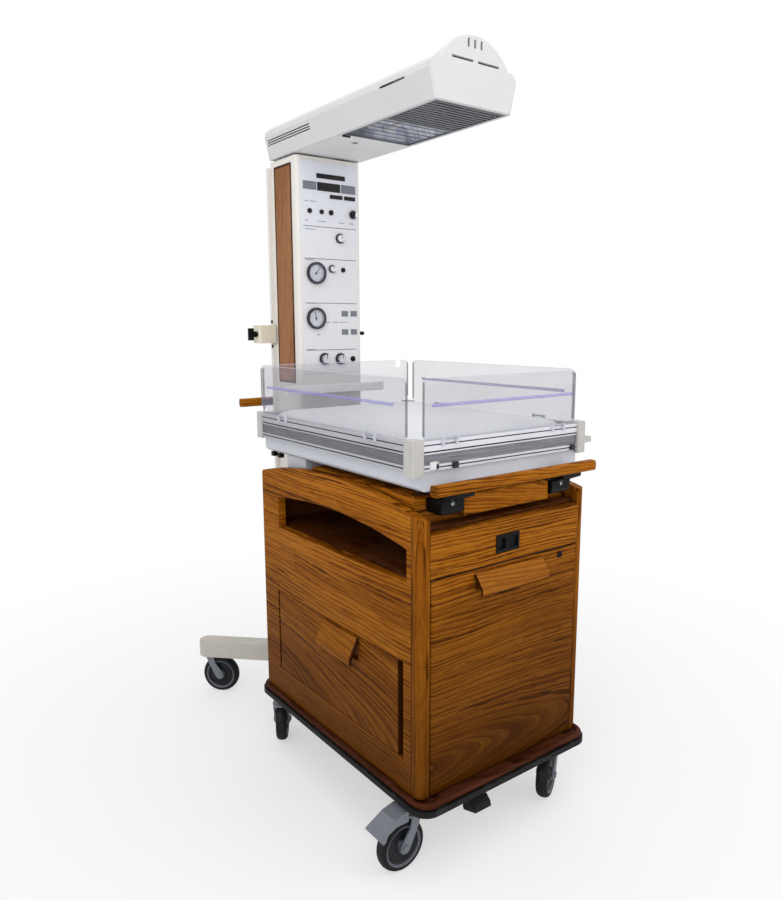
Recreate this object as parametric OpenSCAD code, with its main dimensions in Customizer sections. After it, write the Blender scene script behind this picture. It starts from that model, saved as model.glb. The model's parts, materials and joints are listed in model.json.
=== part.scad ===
// Infant warmer: radiant heat hood on a column, tilting mattress bed, wooden cabinet and castor base.
// +Z is up, the front faces -Y and the left side is -X. Sizes are in millimetres.
// Modules are drawn with the bed centre over X = 0, Y = 0 and are then moved so that the floor
// point under the middle of the whole unit is the origin.

/* [Castors] */
// Radius of the castor wheels
wheel_r = 61.5; // [50:0.5:63]
// Width of the tyre
wheel_w = 32; // [26:1:36]
// Radius of the wheel axles
axle_r = 5; // [4:0.5:7]
// Running clearance between an axle or pin and its bore
run_gap = 0.06; // [0.02:0.01:0.1]
// Height of the castors from the floor to the board that they carry
castor_h = 168; // [160:1:174]
// Distance that a wheel trails its swivel axis
trail = 33; // [26:1:36]
// Thickness of the fork arms
fork_t = 4; // [3:0.5:5]
// Radius of the swivel head
swivel_r = 24; // [20:1:26]
// Distance from the swivel axis to the tip of a brake pedal
pedal_reach = 112; // [106:1:122]
// Sideways distance of the cabinet castors inside the base board's edge
castor_side_in = 39; // [35:1:50]
// Distance of the front castors behind the base board's front
castor_front_in = 90; // [85:1:105]
// Distance of the rear castors in front of the base board's back
castor_rear_in = 50; // [46:1:70]

/* [Base board] */
// Width of the base board
base_w = 550; // [540:1:580]
// Distance that the base board stands out in front of the cabinet
base_front_lip = 28; // [20:1:36]
// Distance that the base board stands out behind the cabinet
base_rear_lip = 29; // [10:1:30]
// Corner radius of the base board
base_r = 40; // [30:1:50]
// Thickness of the round-nosed upper layer
base_t = 14; // [12:1:20]
// Thickness of the lower layer, which the bumper surrounds
base_under = 14; // [8:1:16]
// Distance that the rubber bumper stands out past the board
bumper_out = 4; // [2:0.5:8]
// Depth of the groove that holds the bumper
bumper_in = 10; // [6:1:14]

/* [Cabinet] */
// Width of the cabinet over its sides
cabinet_w = 525; // [505:1:530]
// Depth of the cabinet
cabinet_d = 708; // [690:1:716]
// Distance of the cabinet's middle behind the bed centre
cabinet_shift = -13; // [-16:0.5:-10]
// Height of the sides at the ends of their arch
side_h = 637; // [624:1:640]
// Rise of the arched top of the sides
arch_rise = 39; // [24:1:42]
// Thickness of the side panels
side_t = 22; // [18:1:24]
// Width of the front corner posts
post_w = 28; // [26:1:36]
// Radius of the posts' outer corner
post_r = 18; // [10:1:22]
// Thickness of the inner boards
board_t = 18; // [14:1:18]
// Thickness of the front door and front panel
door_t = 20; // [16:1:24]
// Gap round the doors
door_gap = 2; // [1.5:0.5:3]
// Height of the open bay's floor above the base board
bay_h = 490; // [470:1:494]
// Height of the bay's side opening at its middle
bay_slot_h = 105; // [90:1:105]
// Distance from the cabinet's front to the bay's side opening
bay_slot_front = 46; // [40:1:60]
// Distance from the cabinet's back to the bay's side opening
bay_slot_rear = 91; // [80:1:120]
// Height of the fixed front panel
front_panel_h = 98; // [90:1:106]
// Height of the side door
side_door_h = 231; // [200:1:240]
// Height of the side door's opening above the base board
side_door_up = 76; // [60:1:80]
// Distance from the cabinet's front to the side door's opening
side_door_front = 58; // [50:1:70]
// Distance from the cabinet's back to the side door's opening
side_door_rear = 76; // [66:1:100]
// Width of the finger slit beside the side door
finger_slit = 19; // [14:1:22]
// Length of the front door's scoop pull
front_pull_w = 216; // [160:1:260]
// Length of the side door's scoop pull
side_pull_w = 156; // [120:1:200]
// Height of the scoop pulls
pull_h = 44; // [36:1:60]
// Distance that the scoop pulls stand out
pull_out = 28; // [20:1:32]
// Radius of the hinge pins of doors and bed
hinge_pin_r = 4; // [3:0.5:4.5]
// Width of the black socket plate in the front panel
socket_w = 73; // [60:1:90]
// Height of the black socket plate
socket_h = 42; // [30:1:50]

/* [Riser and pull-out board] */
// Gap between the wooden riser that carries the bed and the side panels
riser_side_gap = 4.5; // [2.5:0.5:15.5]
// Distance of the riser's front behind the cabinet's front
riser_in = 53; // [47:1:59]
// Depth of the riser
riser_d = 424; // [414:1:464]
// Gap between the riser and the bed tray's neck behind it
neck_gap = 39; // [12:1:60]
// Depth of the bed tray's neck
neck_d = 98; // [70:1:120]
// Height of the riser above the cabinet's deck
riser_h = 66; // [60:1:68]
// Width of the pull-out board's front
tray_w = 266; // [230:1:280]
// Height of the pull-out board's front
tray_h = 42; // [34:1:44]

/* [Push bars] */
// Length of the front wooden push bar
bar_w = 498; // [460:1:520]
// Height of the push bars
bar_h = 25; // [20:1:28]
// Depth of the push bars
bar_d = 24; // [18:1:28]
// Distance of the front push bar's face in front of the bed's rim
bar_out = 56; // [52:1:62]
// Height of the front push bar's underside above the floor
bar_z = 885; // [884:1:890]
// Sideways distance of the bar brackets from the middle
bracket_x = 172; // [165:1:195]
// Width of the bar brackets
bracket_w = 64; // [54:1:86]
// Length of the rear push bar
rear_bar_w = 430; // [380:1:460]
// Height of the rear push bar's underside above the floor
rear_bar_z = 988; // [960:1:1010]

/* [Chassis] */
// Height of the rear legs
leg_h = 52; // [46:1:54]
// Height of the legs' underside above the floor
leg_z = 128; // [126:0.5:129]
// Width of the rear legs
leg_w = 60; // [56:1:70]
// Sideways distance of the legs' ends from the middle
leg_end_x = 268; // [250:1:280]
// Distance of the legs' ends behind the column
leg_reach = 233.5; // [202.5:0.5:262.5]
// Wall thickness of the chassis castings
chassis_t = 5; // [4:0.5:6]

/* [Column] */
// Width of the column
column_w = 218; // [205:1:230]
// Depth of the column
column_d = 155.5; // [148:0.5:160]
// Gap between the base board and the column
column_gap = 12; // [9:0.5:14]
// Height of the column's top above the floor
column_top = 1704; // [1690:1:1704]
// Corner radius of the column
column_r = 12; // [8:1:16]
// Thickness of the column's sheet
column_t = 3; // [2:0.5:4]
// Width of the wooden strips in the column's sides
trim_w = 100; // [85:1:104]
// Height of the lower end of the wooden strips above the floor
trim_z0 = 1064; // [1030:1:1100]
// Height of the upper end of the wooden strips above the floor
trim_z1 = 1687; // [1650:1:1690]
// Distance of the wooden strips from the column's front
trim_front = 26; // [20:1:28]
// Thickness of the control panel
panel_t = 2.5; // [2:0.5:3]
// Radius of the gauges
gauge_r = 31; // [27:0.5:33]
// Distance that the gauges stand out
gauge_out = 9; // [7:0.5:12]
// Height of the accessory clamps' middle above the floor
clamp_z = 1207; // [1180:1:1240]
// Radius of the pole bore in the accessory clamps
pole_r = 9.6; // [8:0.1:10]
// Half width of the accessory rail over the bed's head
rail_half_w = 170; // [150:1:190]
// Height of the accessory rail
rail_h = 25; // [20:1:28]
// Height of the accessory rail's underside above the floor
rail_z = 1035; // [1030:1:1050]

/* [Bed] */
// Width of the bed over its rim
bed_w = 535; // [530:1:536]
// How much shorter the bed is than the cabinet's depth
bed_less = 8; // [4:1:18]
// Height of the rim's top above the floor
rim_top = 993; // [990:1:996]
// Height of the rim
rim_h = 63; // [60:1:66]
// Width of the rim at the sides
rim_side_t = 20; // [18:1:22]
// Width of the rim at the ends
rim_end_t = 25; // [22:1:28]
// Height of the white tray below the rim
bed_tray_h = 44; // [40:1:45]
// Thickness of the mattress at its edge
mattress_t = 54; // [45:1:58]
// Crown of the mattress
mattress_crown = 7; // [3:1:10]
// Height of the clear panels' top above the floor
clear_top = 1125; // [1105:1:1140]
// Thickness of the clear panels
clear_t = 6; // [4:0.5:6]
// Distance of the panels' hinge axes outside the rim
clear_axis_out = 2.5; // [2:0.25:4]

/* [Hood] */
// Length of the hood from its rear edge to its front
hood_d = 747; // [700:1:760]
// Reach of the hood behind the column's middle
hood_back = 63.5; // [47:0.5:87]
// Height of the hood's underside above the floor
hood_z = 1709; // [1708.5:0.5:1714]
// Half width of the hood's underside
hood_low = 114; // [110:1:120]
// Half width of the hood where it is widest
hood_mid = 128; // [124:1:132]
// Half width of the hood's top
hood_high = 110; // [100:1:116]
// Height of the hood's widest line above its underside
hood_mid_h = 62; // [50:1:70]
// Height of the hood
hood_h = 88; // [80:1:96]
// Depth of the light opening under the hood
opening_d = 376; // [350:1:400]
// Part of that depth that the lamp's slats take
opening_lamp = 195; // [180:1:210]
// Height of the reflector over the heater
reflector_h = 60; // [50:1:66]
// Radius of the round nose plate
nose_r = 115; // [104:1:122]
// Height of the hood's round nose above its underside
nose_h = 148; // [140:1:156]
// Thickness of the hood's sheet
hood_t = 3; // [2:0.5:4]
// Number of wires over the heater
guard_wires = 6; // [4:1:12]
// Number of slats over the examination lamp
guard_slats = 12; // [8:1:14]

/* [Hidden] */
$fn = 48;
clear = 0.3;
base_z = castor_h;
base_top = base_z + base_under + base_t;
cab_x = cabinet_w / 2;
cab_y0 = cabinet_shift - cabinet_d / 2;
cab_y1 = cabinet_shift + cabinet_d / 2;
base_y0 = cab_y0 - base_front_lip;
base_y1 = cab_y1 + base_rear_lip;
castor_x = base_w / 2 - castor_side_in;
castor_front_y = base_y0 + castor_front_in;
castor_rear_y = base_y1 - castor_rear_in;
side_top = base_top + side_h;
arch_r = (pow(cabinet_d / 2, 2) + pow(arch_rise, 2)) / (2 * arch_rise);
bay_floor = base_top + bay_h;
slot_y0 = cab_y0 + bay_slot_front;
slot_y1 = cab_y1 - bay_slot_rear;
slot_peak = bay_floor + bay_slot_h;
deck_z = slot_peak + 3;
deck_top = deck_z + 12;
inner_x = cab_x - side_t;
riser_half_w = inner_x - riser_side_gap;
riser_front_y = cab_y0 + riser_in;
riser_rear_y = riser_front_y + riser_d;
neck_half = inner_x - 8.5;
neck_y0 = riser_rear_y + neck_gap;
neck_y1 = neck_y0 + neck_d;
front_panel_z = bay_floor + 14;
front_door_top = front_panel_z - 4;
door_x = cab_x - post_w - door_gap;
side_open_z = base_top + side_door_up;
side_open_y0 = cab_y0 + side_door_front;
side_open_y1 = cab_y1 - side_door_rear;
side_door_t = 18;
riser_top = deck_top + riser_h;
riser_wall = 18;
tray_z = riser_top - 6 - tray_h;
tray_board_t = 12;
tray_board_z = tray_z + 5;
tray_board_half = tray_w / 2 - 8;
tray_face_y = riser_front_y - 45;
bed_x = bed_w / 2;
bed_d = cabinet_d - bed_less;
bed_y = bed_d / 2;
column_y = max(base_y1, bed_y + 20) + column_gap;
column_y1 = column_y + column_d;
column_mid_y = column_y + column_d / 2;
column_x = column_w / 2;
leg_top = leg_z + leg_h;
leg_end_y = column_y1 + leg_reach;
leg_angle = atan2(leg_end_y - column_mid_y - 50, leg_end_x);
leg_root_y = leg_end_y - leg_end_x * tan(leg_angle);
outrigger_x = leg_end_x - 9 * cos(leg_angle);
outrigger_y = leg_end_y - 9 * sin(leg_angle);
tongue_half = 50;
tongue_z = base_z - 28;
pedal_axis_y = base_y0 + 72;
pedal_axis_z = base_z - 16;
kingpin_r = 5;
lug_x = swivel_r + 14;
lug_z = base_z - 27;
rim_z = rim_top - rim_h;
well_x = bed_x - rim_side_t;
well_y = bed_y - rim_end_t;
bed_tray_z = rim_z - bed_tray_h;
bed_deck = rim_z + 13;
mattress_z = bed_deck + clear;
tilt_y = riser_front_y + 14;
tilt_z = riser_top + 6;
clear_z = rim_top + 1.5;
clear_axis_z = rim_top + 4;
front_y = -bed_y - bar_out;
rear_y = leg_end_y + leg_w / 2;
mid_y = (front_y + rear_y) / 2;
panel_y = column_y - panel_t;
hood_y1 = column_mid_y + hood_back;
hood_y0 = hood_y1 - hood_d;
hood_face = hood_y0 - 9;
hood_top = hood_z + hood_h;
nose_z = hood_z + nose_h - nose_r;
opening_y0 = hood_face + 9;
opening_split = hood_face + opening_lamp;
opening_y1 = hood_face + opening_d;
opening_half = hood_low - 8;
reflector_z = hood_z + 5;

// Castors: swivel x, swivel y, direction that the wheel trails in, degrees from +X
CASTOR_FL = [-castor_x, castor_front_y, 180];
CASTOR_FR = [castor_x, castor_front_y, 208];
CASTOR_RL = [-castor_x, castor_rear_y, 56];
CASTOR_RR = [castor_x, castor_rear_y, 0];
CASTOR_OL = [-outrigger_x, outrigger_y, -45];
CASTOR_OR = [outrigger_x, outrigger_y, 225];
CASTORS = [CASTOR_FL, CASTOR_FR, CASTOR_RL, CASTOR_RR, CASTOR_OL, CASTOR_OR];

// Control knobs: x, height above the floor, radius, length
KNOB_TEMPERATURE = [80, 1555, 12, 14];
KNOB_TIMER = [33, 1484, 14, 13];
KNOB_VACUUM = [4, 1396, 11, 12];
KNOB_OXYGEN = [-27, 1134.5, 17, 16];
KNOB_AIR = [29, 1133, 17, 16];
// Gauges: x, height above the floor, angle of the needle
GAUGE_UPPER = [-51, 1382, 40];
GAUGE_LOWER = [-54, 1253, -8];
GAUGES = [GAUGE_UPPER, GAUGE_LOWER];
// Lamps and push caps: x, height above the floor, radius
LAMPS = [[-68, 1555, 7], [-28, 1555, 6.5], [4, 1555, 7.5], [43, 1394, 7], [74, 1132, 8]];
// Display windows: low x, low z, high x, high z
DISPLAYS = [[-43, 1647, 53, 1660], [-41, 1613, 36, 1636], [1, 1594, 44, 1605], [50, 1594, 88, 1605]];
// Key pads: low x, low z, high x, high z
KEYS = [[-88, 1614, -45, 1636], [40, 1613, 89, 1636], [36, 1259, 58, 1275], [68, 1259, 90, 1275],
    [36, 1205, 58, 1221], [68, 1205, 90, 1221]];
// Heights of the rules that part the control panel's fields
RULES = [1513, 1423, 1297, 1161];

// Shared shapes

// Box between two corners
module box(a, b) {
    translate(a) cube(b - a);
}

// Flat rectangle with round corners
module round_rect(a, b, r) {
    translate([a.x + r, a.y]) square([b.x - a.x - 2 * r, b.y - a.y]);
    translate([a.x, a.y + r]) square([b.x - a.x, b.y - a.y - 2 * r]);
    for (x = [a.x + r, b.x - r], y = [a.y + r, b.y - r]) translate([x, y]) circle(r);
}

// Upright slab with round corners, between two corner points
module slab(a, b, r) {
    translate([0, 0, a.z]) linear_extrude(b.z - a.z) round_rect([a.x, a.y], [b.x, b.y], r);
}

// Rods along each axis: start point, length, radius
module rod_x(p, l, r) {
    translate(p) rotate([0, 90, 0]) cylinder(l, r, r);
}

module rod_y(p, l, r) {
    translate(p) rotate([-90, 0, 0]) cylinder(l, r, r);
}

module rod_z(p, l, r) {
    translate(p) cylinder(l, r, r);
}

// Outline in Y and Z, extruded along X from x0 to x1
module along_x(x0, x1) {
    translate([x0, 0, 0]) rotate([90, 0, 90]) linear_extrude(x1 - x0) children();
}

// Outline in X and Z, extruded along Y from y0 to y1
module along_y(y0, y1) {
    translate([0, y1, 0]) rotate([90, 0, 0]) linear_extrude(y1 - y0) children();
}

module both_sides() {
    children();
    mirror([1, 0, 0]) children();
}

// The whole unit's middle goes over the origin
module place() {
    translate([0, -mid_y, 0]) children();
}

// Height of an arch of the cabinet's radius above its ends at y
function arch_at(y) = sqrt(pow(arch_r, 2) - pow(y - cabinet_shift, 2)) - arch_r;

// Points of an arch whose peak is at height z, from y1 back to y0
function arch_points(y0, y1, z, steps = 24) =
    [for (i = [0:steps]) let (y = y1 + (y0 - y1) * i / steps) [y, z + arch_at(y)]];

// Castor parts, drawn with the wheel trailing along +X from the swivel axis at the origin

module at_castor(c) {
    place() translate([c.x, c.y, 0]) rotate([0, 0, c.z]) children();
}

// Fork: swivel head, two raked arms and the axle that they hold; a braked fork carries a pedal lug
module fork(braked = false) {
    arm_y = wheel_w / 2 + 2;
    head_z = 2 * wheel_r + 3;
    axle_z = wheel_r;
    color("silver") {
        difference() {
            union() {
                rod_z([0, 0, head_z], 6, swivel_r);
                rod_z([0, 0, head_z + 5], 12, swivel_r - 4);
                rod_z([0, 0, head_z + 16], base_z - 4 - clear - head_z - 16, swivel_r - 8);
                if (braked) box([swivel_r - 14, -9, lug_z - 4.5], [lug_x + 5, 9, lug_z + 4.5]);
            }
            rod_z([0, 0, base_z - 23], 23, kingpin_r + run_gap);
        }
        if (braked) rod_y([lug_x, -24.5, lug_z], 49, 3);
        for (s = [-1, 1]) {
            along_y(min(s * arm_y, s * (arm_y + fork_t)), max(s * arm_y, s * (arm_y + fork_t)))
                polygon([[-13, head_z + 4], [13, head_z + 4], [19, head_z - 22],
                    [trail + 13, axle_z + 5], [trail + 13, axle_z - 6], [trail + 6, axle_z - 13],
                    [trail - 6, axle_z - 13], [trail - 13, axle_z - 6], [-4, head_z - 20]]);
        }
        rod_y([trail, -arm_y - fork_t - 3, axle_z], 2 * (arm_y + fork_t + 3), axle_r);
        for (s = [-1, 1]) rod_y([trail, s > 0 ? arm_y + fork_t : -arm_y - fork_t - 4, axle_z], 4, axle_r + 3);
    }
}

// Wheel: soft tyre, dished web and hub with its axle bore
module wheel() {
    half = wheel_w / 2;
    translate([trail, 0, wheel_r]) rotate([90, 0, 0]) color("dimgray") rotate_extrude($fn = 96)
        polygon(concat(
            [[axle_r + run_gap, -half + 1], [15, -half + 1], [19, -half + 7], [39, -half + 8],
                [44, -half + 3], [49, -half + 1]],
            [for (a = [-90:15:90]) [wheel_r - 9 + 9 * cos(a), sin(a) * (half - 0.5)]],
            [[49, half - 1], [44, half - 3], [39, half - 8], [19, half - 7], [15, half - 1],
                [axle_r + run_gap, half - 1]]));
}

// Brake pedal: a deep sloping cap that covers the wheel's trailing side
module brake_pedal() {
    low = 2 * wheel_r + 5;
    tip = pedal_reach;
    color("silver") difference() {
        along_y(-25, 25) polygon([[swivel_r + 3, low], [swivel_r + 3, base_z - 18],
            [swivel_r + 8, base_z - 14], [66, base_z - 22], [tip - 2, base_z - 46], [tip, base_z - 50],
            [tip - 14, base_z - 68], [tip - 20, base_z - 66], [tip - 28, low - 10], [tip - 52, low]]);
        along_y(-21, 21) polygon([[swivel_r + 12, low - 1], [swivel_r + 12, base_z - 19],
            [62, base_z - 26], [tip - 12, base_z - 49], [tip - 22, base_z - 72]]);
        box([swivel_r + 2, -11, low - 1], [swivel_r + 13, 11, base_z - 19]);
        rod_y([lug_x, -30, lug_z], 60, 3 + run_gap);
    }
}

// Base

module base_board() {
    nose = base_t / 2;
    x = base_w / 2;
    z = base_z + base_under;
    inset = bumper_in;
    place() color("peru") {
        slab([-x + inset, base_y0 + inset, base_z], [x - inset, base_y1 - inset, z + nose], base_r - inset);
        slab([-x + nose, base_y0 + nose, z], [x - nose, base_y1 - nose, base_top], base_r - nose);
        for (y = [base_y0 + nose, base_y1 - nose]) rod_x([-x + base_r, y, z + nose], 2 * (x - base_r), nose);
        for (s = [-1, 1]) rod_y([s * (x - nose), base_y0 + base_r, z + nose], base_y1 - base_y0 - 2 * base_r,
            nose);
        for (s = [-1, 1], y = [base_y0 + base_r, base_y1 - base_r]) translate([s * (x - base_r), y, z + nose])
            rotate_extrude($fn = 96) translate([base_r - nose, 0]) circle(nose);
    }
}

module base_bumper() {
    x = base_w / 2;
    z1 = base_z + base_under;
    place() color("black") difference() {
        slab([-x - bumper_out, base_y0 - bumper_out, base_z], [x + bumper_out, base_y1 + bumper_out, z1],
            base_r + bumper_out);
        slab([-x + bumper_in, base_y0 + bumper_in, base_z - 1], [x - bumper_in, base_y1 - bumper_in, z1 + 1],
            base_r - bumper_in);
    }
}

// Castor mounting plates: square under the base board, round inside the rear legs
module castor_plates() {
    place() color("silver") {
        for (i = [0:3]) translate([CASTORS[i].x, CASTORS[i].y, 0]) difference() {
            slab([-38, -32, base_z - 4], [38, 32, base_z], 6);
            for (x = [-30, 30], y = [-24, 24]) rod_z([x, y, base_z - 5], 6, 3.2);
        }
        for (i = [4:5]) rod_z([CASTORS[i].x, CASTORS[i].y, base_z - 4], 4, swivel_r);
        for (c = CASTORS) rod_z([c.x, c.y, base_z - 22], 20, kingpin_r);
    }
}

// Chassis: hub under the column, two splayed legs and a channel under the base board
module leg() {
    run = norm([leg_end_x, leg_end_y - leg_root_y]);
    translate([0, leg_root_y, 0]) rotate([0, 0, leg_angle]) difference() {
        union() {
            box([0, -leg_w / 2, leg_z], [run, leg_w / 2, leg_top]);
            rod_z([run, 0, leg_z], leg_h, leg_w / 2);
        }
        box([140, chassis_t - leg_w / 2, leg_z - 1], [run - 40, leg_w / 2 - chassis_t, leg_top - chassis_t]);
        rod_z([run - 9, 0, leg_z - 1], base_z - leg_z + 1, leg_w / 2 - 2.5);
    }
}

module chassis() {
    hub_y0 = column_y + 2;
    tongue_y0 = pedal_axis_y - 13;
    place() color("gainsboro") difference() {
        union() {
            slab([-column_x + 2, hub_y0, leg_z], [column_x - 2, column_y1 - 2, leg_top], 10);
            both_sides() leg();
            difference() {
                box([-tongue_half, tongue_y0, tongue_z], [tongue_half, hub_y0 + 20, base_z]);
                box([-tongue_half + chassis_t, tongue_y0 + 20, tongue_z - 1],
                    [tongue_half - chassis_t, hub_y0 - 10, base_z - chassis_t]);
            }
            for (x = [-109, -55]) along_x(x, x + 9)
                polygon([[pedal_axis_y - 9, base_z], [pedal_axis_y - 9, pedal_axis_z - 9],
                    [pedal_axis_y + 9, pedal_axis_z - 9], [pedal_axis_y + 9, base_z]]);
            rod_x([-106, pedal_axis_y, pedal_axis_z], 58, hinge_pin_r);
        }
        box([-column_x + 12, hub_y0 + 12, leg_z - 1], [column_x - 12, column_y1 - 14, leg_top - 12]);
    }
}

// Foot pedal: a bored boss on the chassis pin, a neck and a ribbed pad
module foot_pedal() {
    y = pedal_axis_y;
    z = pedal_axis_z;
    place() color("black") difference() {
        union() {
            rod_x([-99.7, y, z], 44.4, 9);
            along_x(-90, -66) polygon([[y + 2, z - 9], [y - 7, z + 5], [y - 46, z - 15], [y - 30, z - 34]]);
            along_x(-112, -62) polygon([[y - 61, z - 24], [y - 65, z - 36], [y - 24, z - 48],
                [y - 20, z - 40], [y - 30, z - 18], [y - 48, z - 12]]);
            for (i = [0:2]) along_x(-110, -64) translate([y - 59 + 5 * i, z - 22 + 4.5 * i]) circle(1.6);
        }
        rod_x([-110, y, z], 90, hinge_pin_r + run_gap);
    }
}

// Cabinet

// Side panel with its corner post, drawn for the right side
module side_panel() {
    difference() {
        union() {
            along_x(inner_x, cab_x) polygon(concat([[cab_y0, base_top], [cab_y1, base_top]],
                arch_points(cab_y0, cab_y1, side_top + arch_rise)));
            slab([cab_x - post_w, cab_y0, base_top], [cab_x - 4, cab_y0 + door_t, side_top - 6], 2);
        }
        along_x(inner_x - 1, cab_x + 1) polygon(concat([[slot_y0, bay_floor], [slot_y1, bay_floor]],
            arch_points(slot_y0, slot_y1, slot_peak)));
        for (x = [cab_x - post_w + 8, cab_x - post_w + 16]) rod_z([x, cab_y0 - 1, base_top - 1], side_h + 60, 3);
        for (end = [[cab_y0 - 1, cab_y0 + 14, cab_y0 + 14], [cab_y1 - 14, cab_y1 + 1, cab_y1 - 14]]) difference() {
            box([cab_x - post_w - 2, end[0], side_top - 12], [cab_x + 1, end[1], side_top + 6]);
            rod_x([cab_x - post_w - 3, end[2], side_top - 12], post_w + 6, 15);
        }
        difference() {
            box([cab_x - post_r, cab_y0 - 1, base_top - 1], [cab_x + 1, cab_y0 + post_r, side_top + 60]);
            rod_z([cab_x - post_r, cab_y0 + post_r, base_top - 2], side_h + 70, post_r);
        }
    }
}

module side_panels() {
    place() color("peru") {
        side_panel();
        difference() {
            mirror([1, 0, 0]) side_panel();
            box([-cab_x - 1, side_open_y0, side_open_z], [-inner_x + 1, side_open_y1, side_open_z + side_door_h]);
        }
    }
}

module inner_boards() {
    y0 = cab_y0 + door_t;
    y1 = cab_y1 - board_t;
    shelf_z = side_open_z + side_door_h;
    place() color("peru") {
        box([-inner_x, y0, deck_z], [inner_x, y1, deck_top]);
        box([-inner_x, y0, bay_floor - board_t], [inner_x, y1, bay_floor]);
        box([-inner_x, y0 + 30, shelf_z], [inner_x, y1, shelf_z + board_t]);
        box([-inner_x, y1, base_top], [inner_x, cab_y1, side_top - 6]);
    }
}

module front_panel() {
    x = cab_x - post_w;
    z1 = front_panel_z + front_panel_h;
    mid = front_panel_z + front_panel_h * 0.44;
    place() color("peru") difference() {
        box([-x, cab_y0, front_panel_z], [x, cab_y0 + door_t, z1]);
        box([-6 - socket_w / 2, cab_y0 - 1, mid - socket_h / 2], [-6 + socket_w / 2, cab_y0 + 6, mid + socket_h / 2]);
    }
}

module socket_plate() {
    mid = front_panel_z + front_panel_h * 0.44;
    place() color("black") difference() {
        box([-6 - socket_w / 2, cab_y0 - 2, mid - socket_h / 2], [-6 + socket_w / 2, cab_y0 + 6, mid + socket_h / 2]);
        for (x = [-26, 14]) box([x - 11, cab_y0 - 3, mid - 13], [x + 11, cab_y0 + 3, mid + 13]);
    }
}

// Pins with collars that the doors and the bed turn on, and the bed's pin blocks
module hinge_pins() {
    hx = -door_x + door_t / 2;
    hy = cab_y0 + door_t / 2;
    sx = -cab_x + side_door_t / 2;
    sy = side_open_y1 - door_gap - side_door_t / 2;
    side_z1 = side_open_z + side_door_h;
    place() color("silver") {
        rod_z([hx, hy, base_top], door_gap - clear, 8);
        rod_z([hx, hy, base_top], 30, hinge_pin_r);
        rod_z([hx, hy, front_door_top + clear], front_panel_z - front_door_top - clear, 8);
        rod_z([hx, hy, front_panel_z - 32], 32, hinge_pin_r);
        rod_z([sx, sy, side_open_z], door_gap - clear, 7);
        rod_z([sx, sy, side_open_z], 26, hinge_pin_r);
        rod_z([sx, sy, side_z1 - door_gap + clear], door_gap - clear, 7);
        rod_z([sx, sy, side_z1 - 26], 26, hinge_pin_r);
        rod_x([18 - riser_half_w, tilt_y, tilt_z], 2 * riser_half_w - 36, hinge_pin_r);
        for (s = [-1, 1]) box([s * (riser_half_w - 28) - 9, tilt_y - 9, riser_top],
            [s * (riser_half_w - 28) + 9, tilt_y + 9, tilt_z + 6]);
    }
}

// Scoop pull that hangs on a face at y: width, top and height
module scoop(w, y, z1, h) {
    along_x(-w / 2, w / 2) polygon([[y + 1, z1], [y - 5, z1], [y - pull_out, z1 - h + 14], [y - pull_out, z1 - h],
        [y - pull_out + 5, z1 - h], [y - pull_out + 5, z1 - h + 12], [y - 4, z1 - 8],
        [y + 1, z1 - 8]]);
}

module front_door() {
    hx = -door_x + door_t / 2;
    hy = cab_y0 + door_t / 2;
    z0 = base_top + door_gap;
    place() color("peru") difference() {
        union() {
            box([hx, cab_y0, z0], [door_x, cab_y0 + door_t, front_door_top]);
            rod_z([hx, hy, z0], front_door_top - z0, door_t / 2);
            scoop(front_pull_w, cab_y0, front_door_top - 8, pull_h);
            rod_y([door_x - 60, cab_y0 - 2, front_door_top - 16], 3, 7);
        }
        rod_z([hx, hy, z0 - 1], 32, hinge_pin_r + run_gap);
        rod_z([hx, hy, front_panel_z - 33], 40, hinge_pin_r + run_gap);
        box([door_x - 61, cab_y0 - 3, front_door_top - 20], [door_x - 59, cab_y0, front_door_top - 12]);
        box([-front_pull_w / 2 + 4, cab_y0 - 1, front_door_top - 46],
            [front_pull_w / 2 - 4, cab_y0 + 9, front_door_top - 17]);
    }
}

module side_door() {
    x0 = -cab_x;
    hx = x0 + side_door_t / 2;
    hy = side_open_y1 - door_gap - side_door_t / 2;
    y0 = side_open_y0 + finger_slit;
    z0 = side_open_z + door_gap;
    z1 = side_open_z + side_door_h - door_gap;
    pull_y = (y0 + hy) / 2 - 42;
    place() color("peru") difference() {
        union() {
            box([x0, y0, z0], [x0 + side_door_t, hy, z1]);
            rod_z([hx, hy, z0], z1 - z0, side_door_t / 2);
            translate([0, pull_y, 0]) rotate([0, 0, -90]) scoop(side_pull_w, x0, z1 - 4, pull_h + 18);
        }
        rod_z([hx, hy, z0 - 1], 27, hinge_pin_r + run_gap);
        rod_z([hx, hy, z1 - 26], 27, hinge_pin_r + run_gap);
        box([x0 - 1, pull_y - side_pull_w / 2 + 4, z1 - pull_h - 20],
            [x0 + 9, pull_y + side_pull_w / 2 - 4, z1 - 13]);
    }
}

// Riser under the bed, with the runners of the pull-out board
module riser() {
    x = riser_half_w;
    run = tray_board_half + clear;
    y1 = riser_rear_y - riser_wall;
    place() color("peru") {
        difference() {
            box([-x, riser_front_y, deck_top], [x, riser_rear_y, riser_top]);
            box([riser_wall - x, riser_front_y + riser_wall, deck_top - 1], [x - riser_wall, y1, riser_top - 10]);
            box([-run, riser_front_y - 1, tray_board_z - clear], [run, riser_front_y + riser_wall + 1, riser_top - 10]);
        }
        both_sides() along_y(riser_front_y + riser_wall, y1) polygon([[run - 20, deck_top], [run + 12, deck_top],
            [run + 12, riser_top - 10], [run, riser_top - 10], [run, tray_board_z - clear],
            [run - 20, tray_board_z - clear]]);
    }
}

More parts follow.
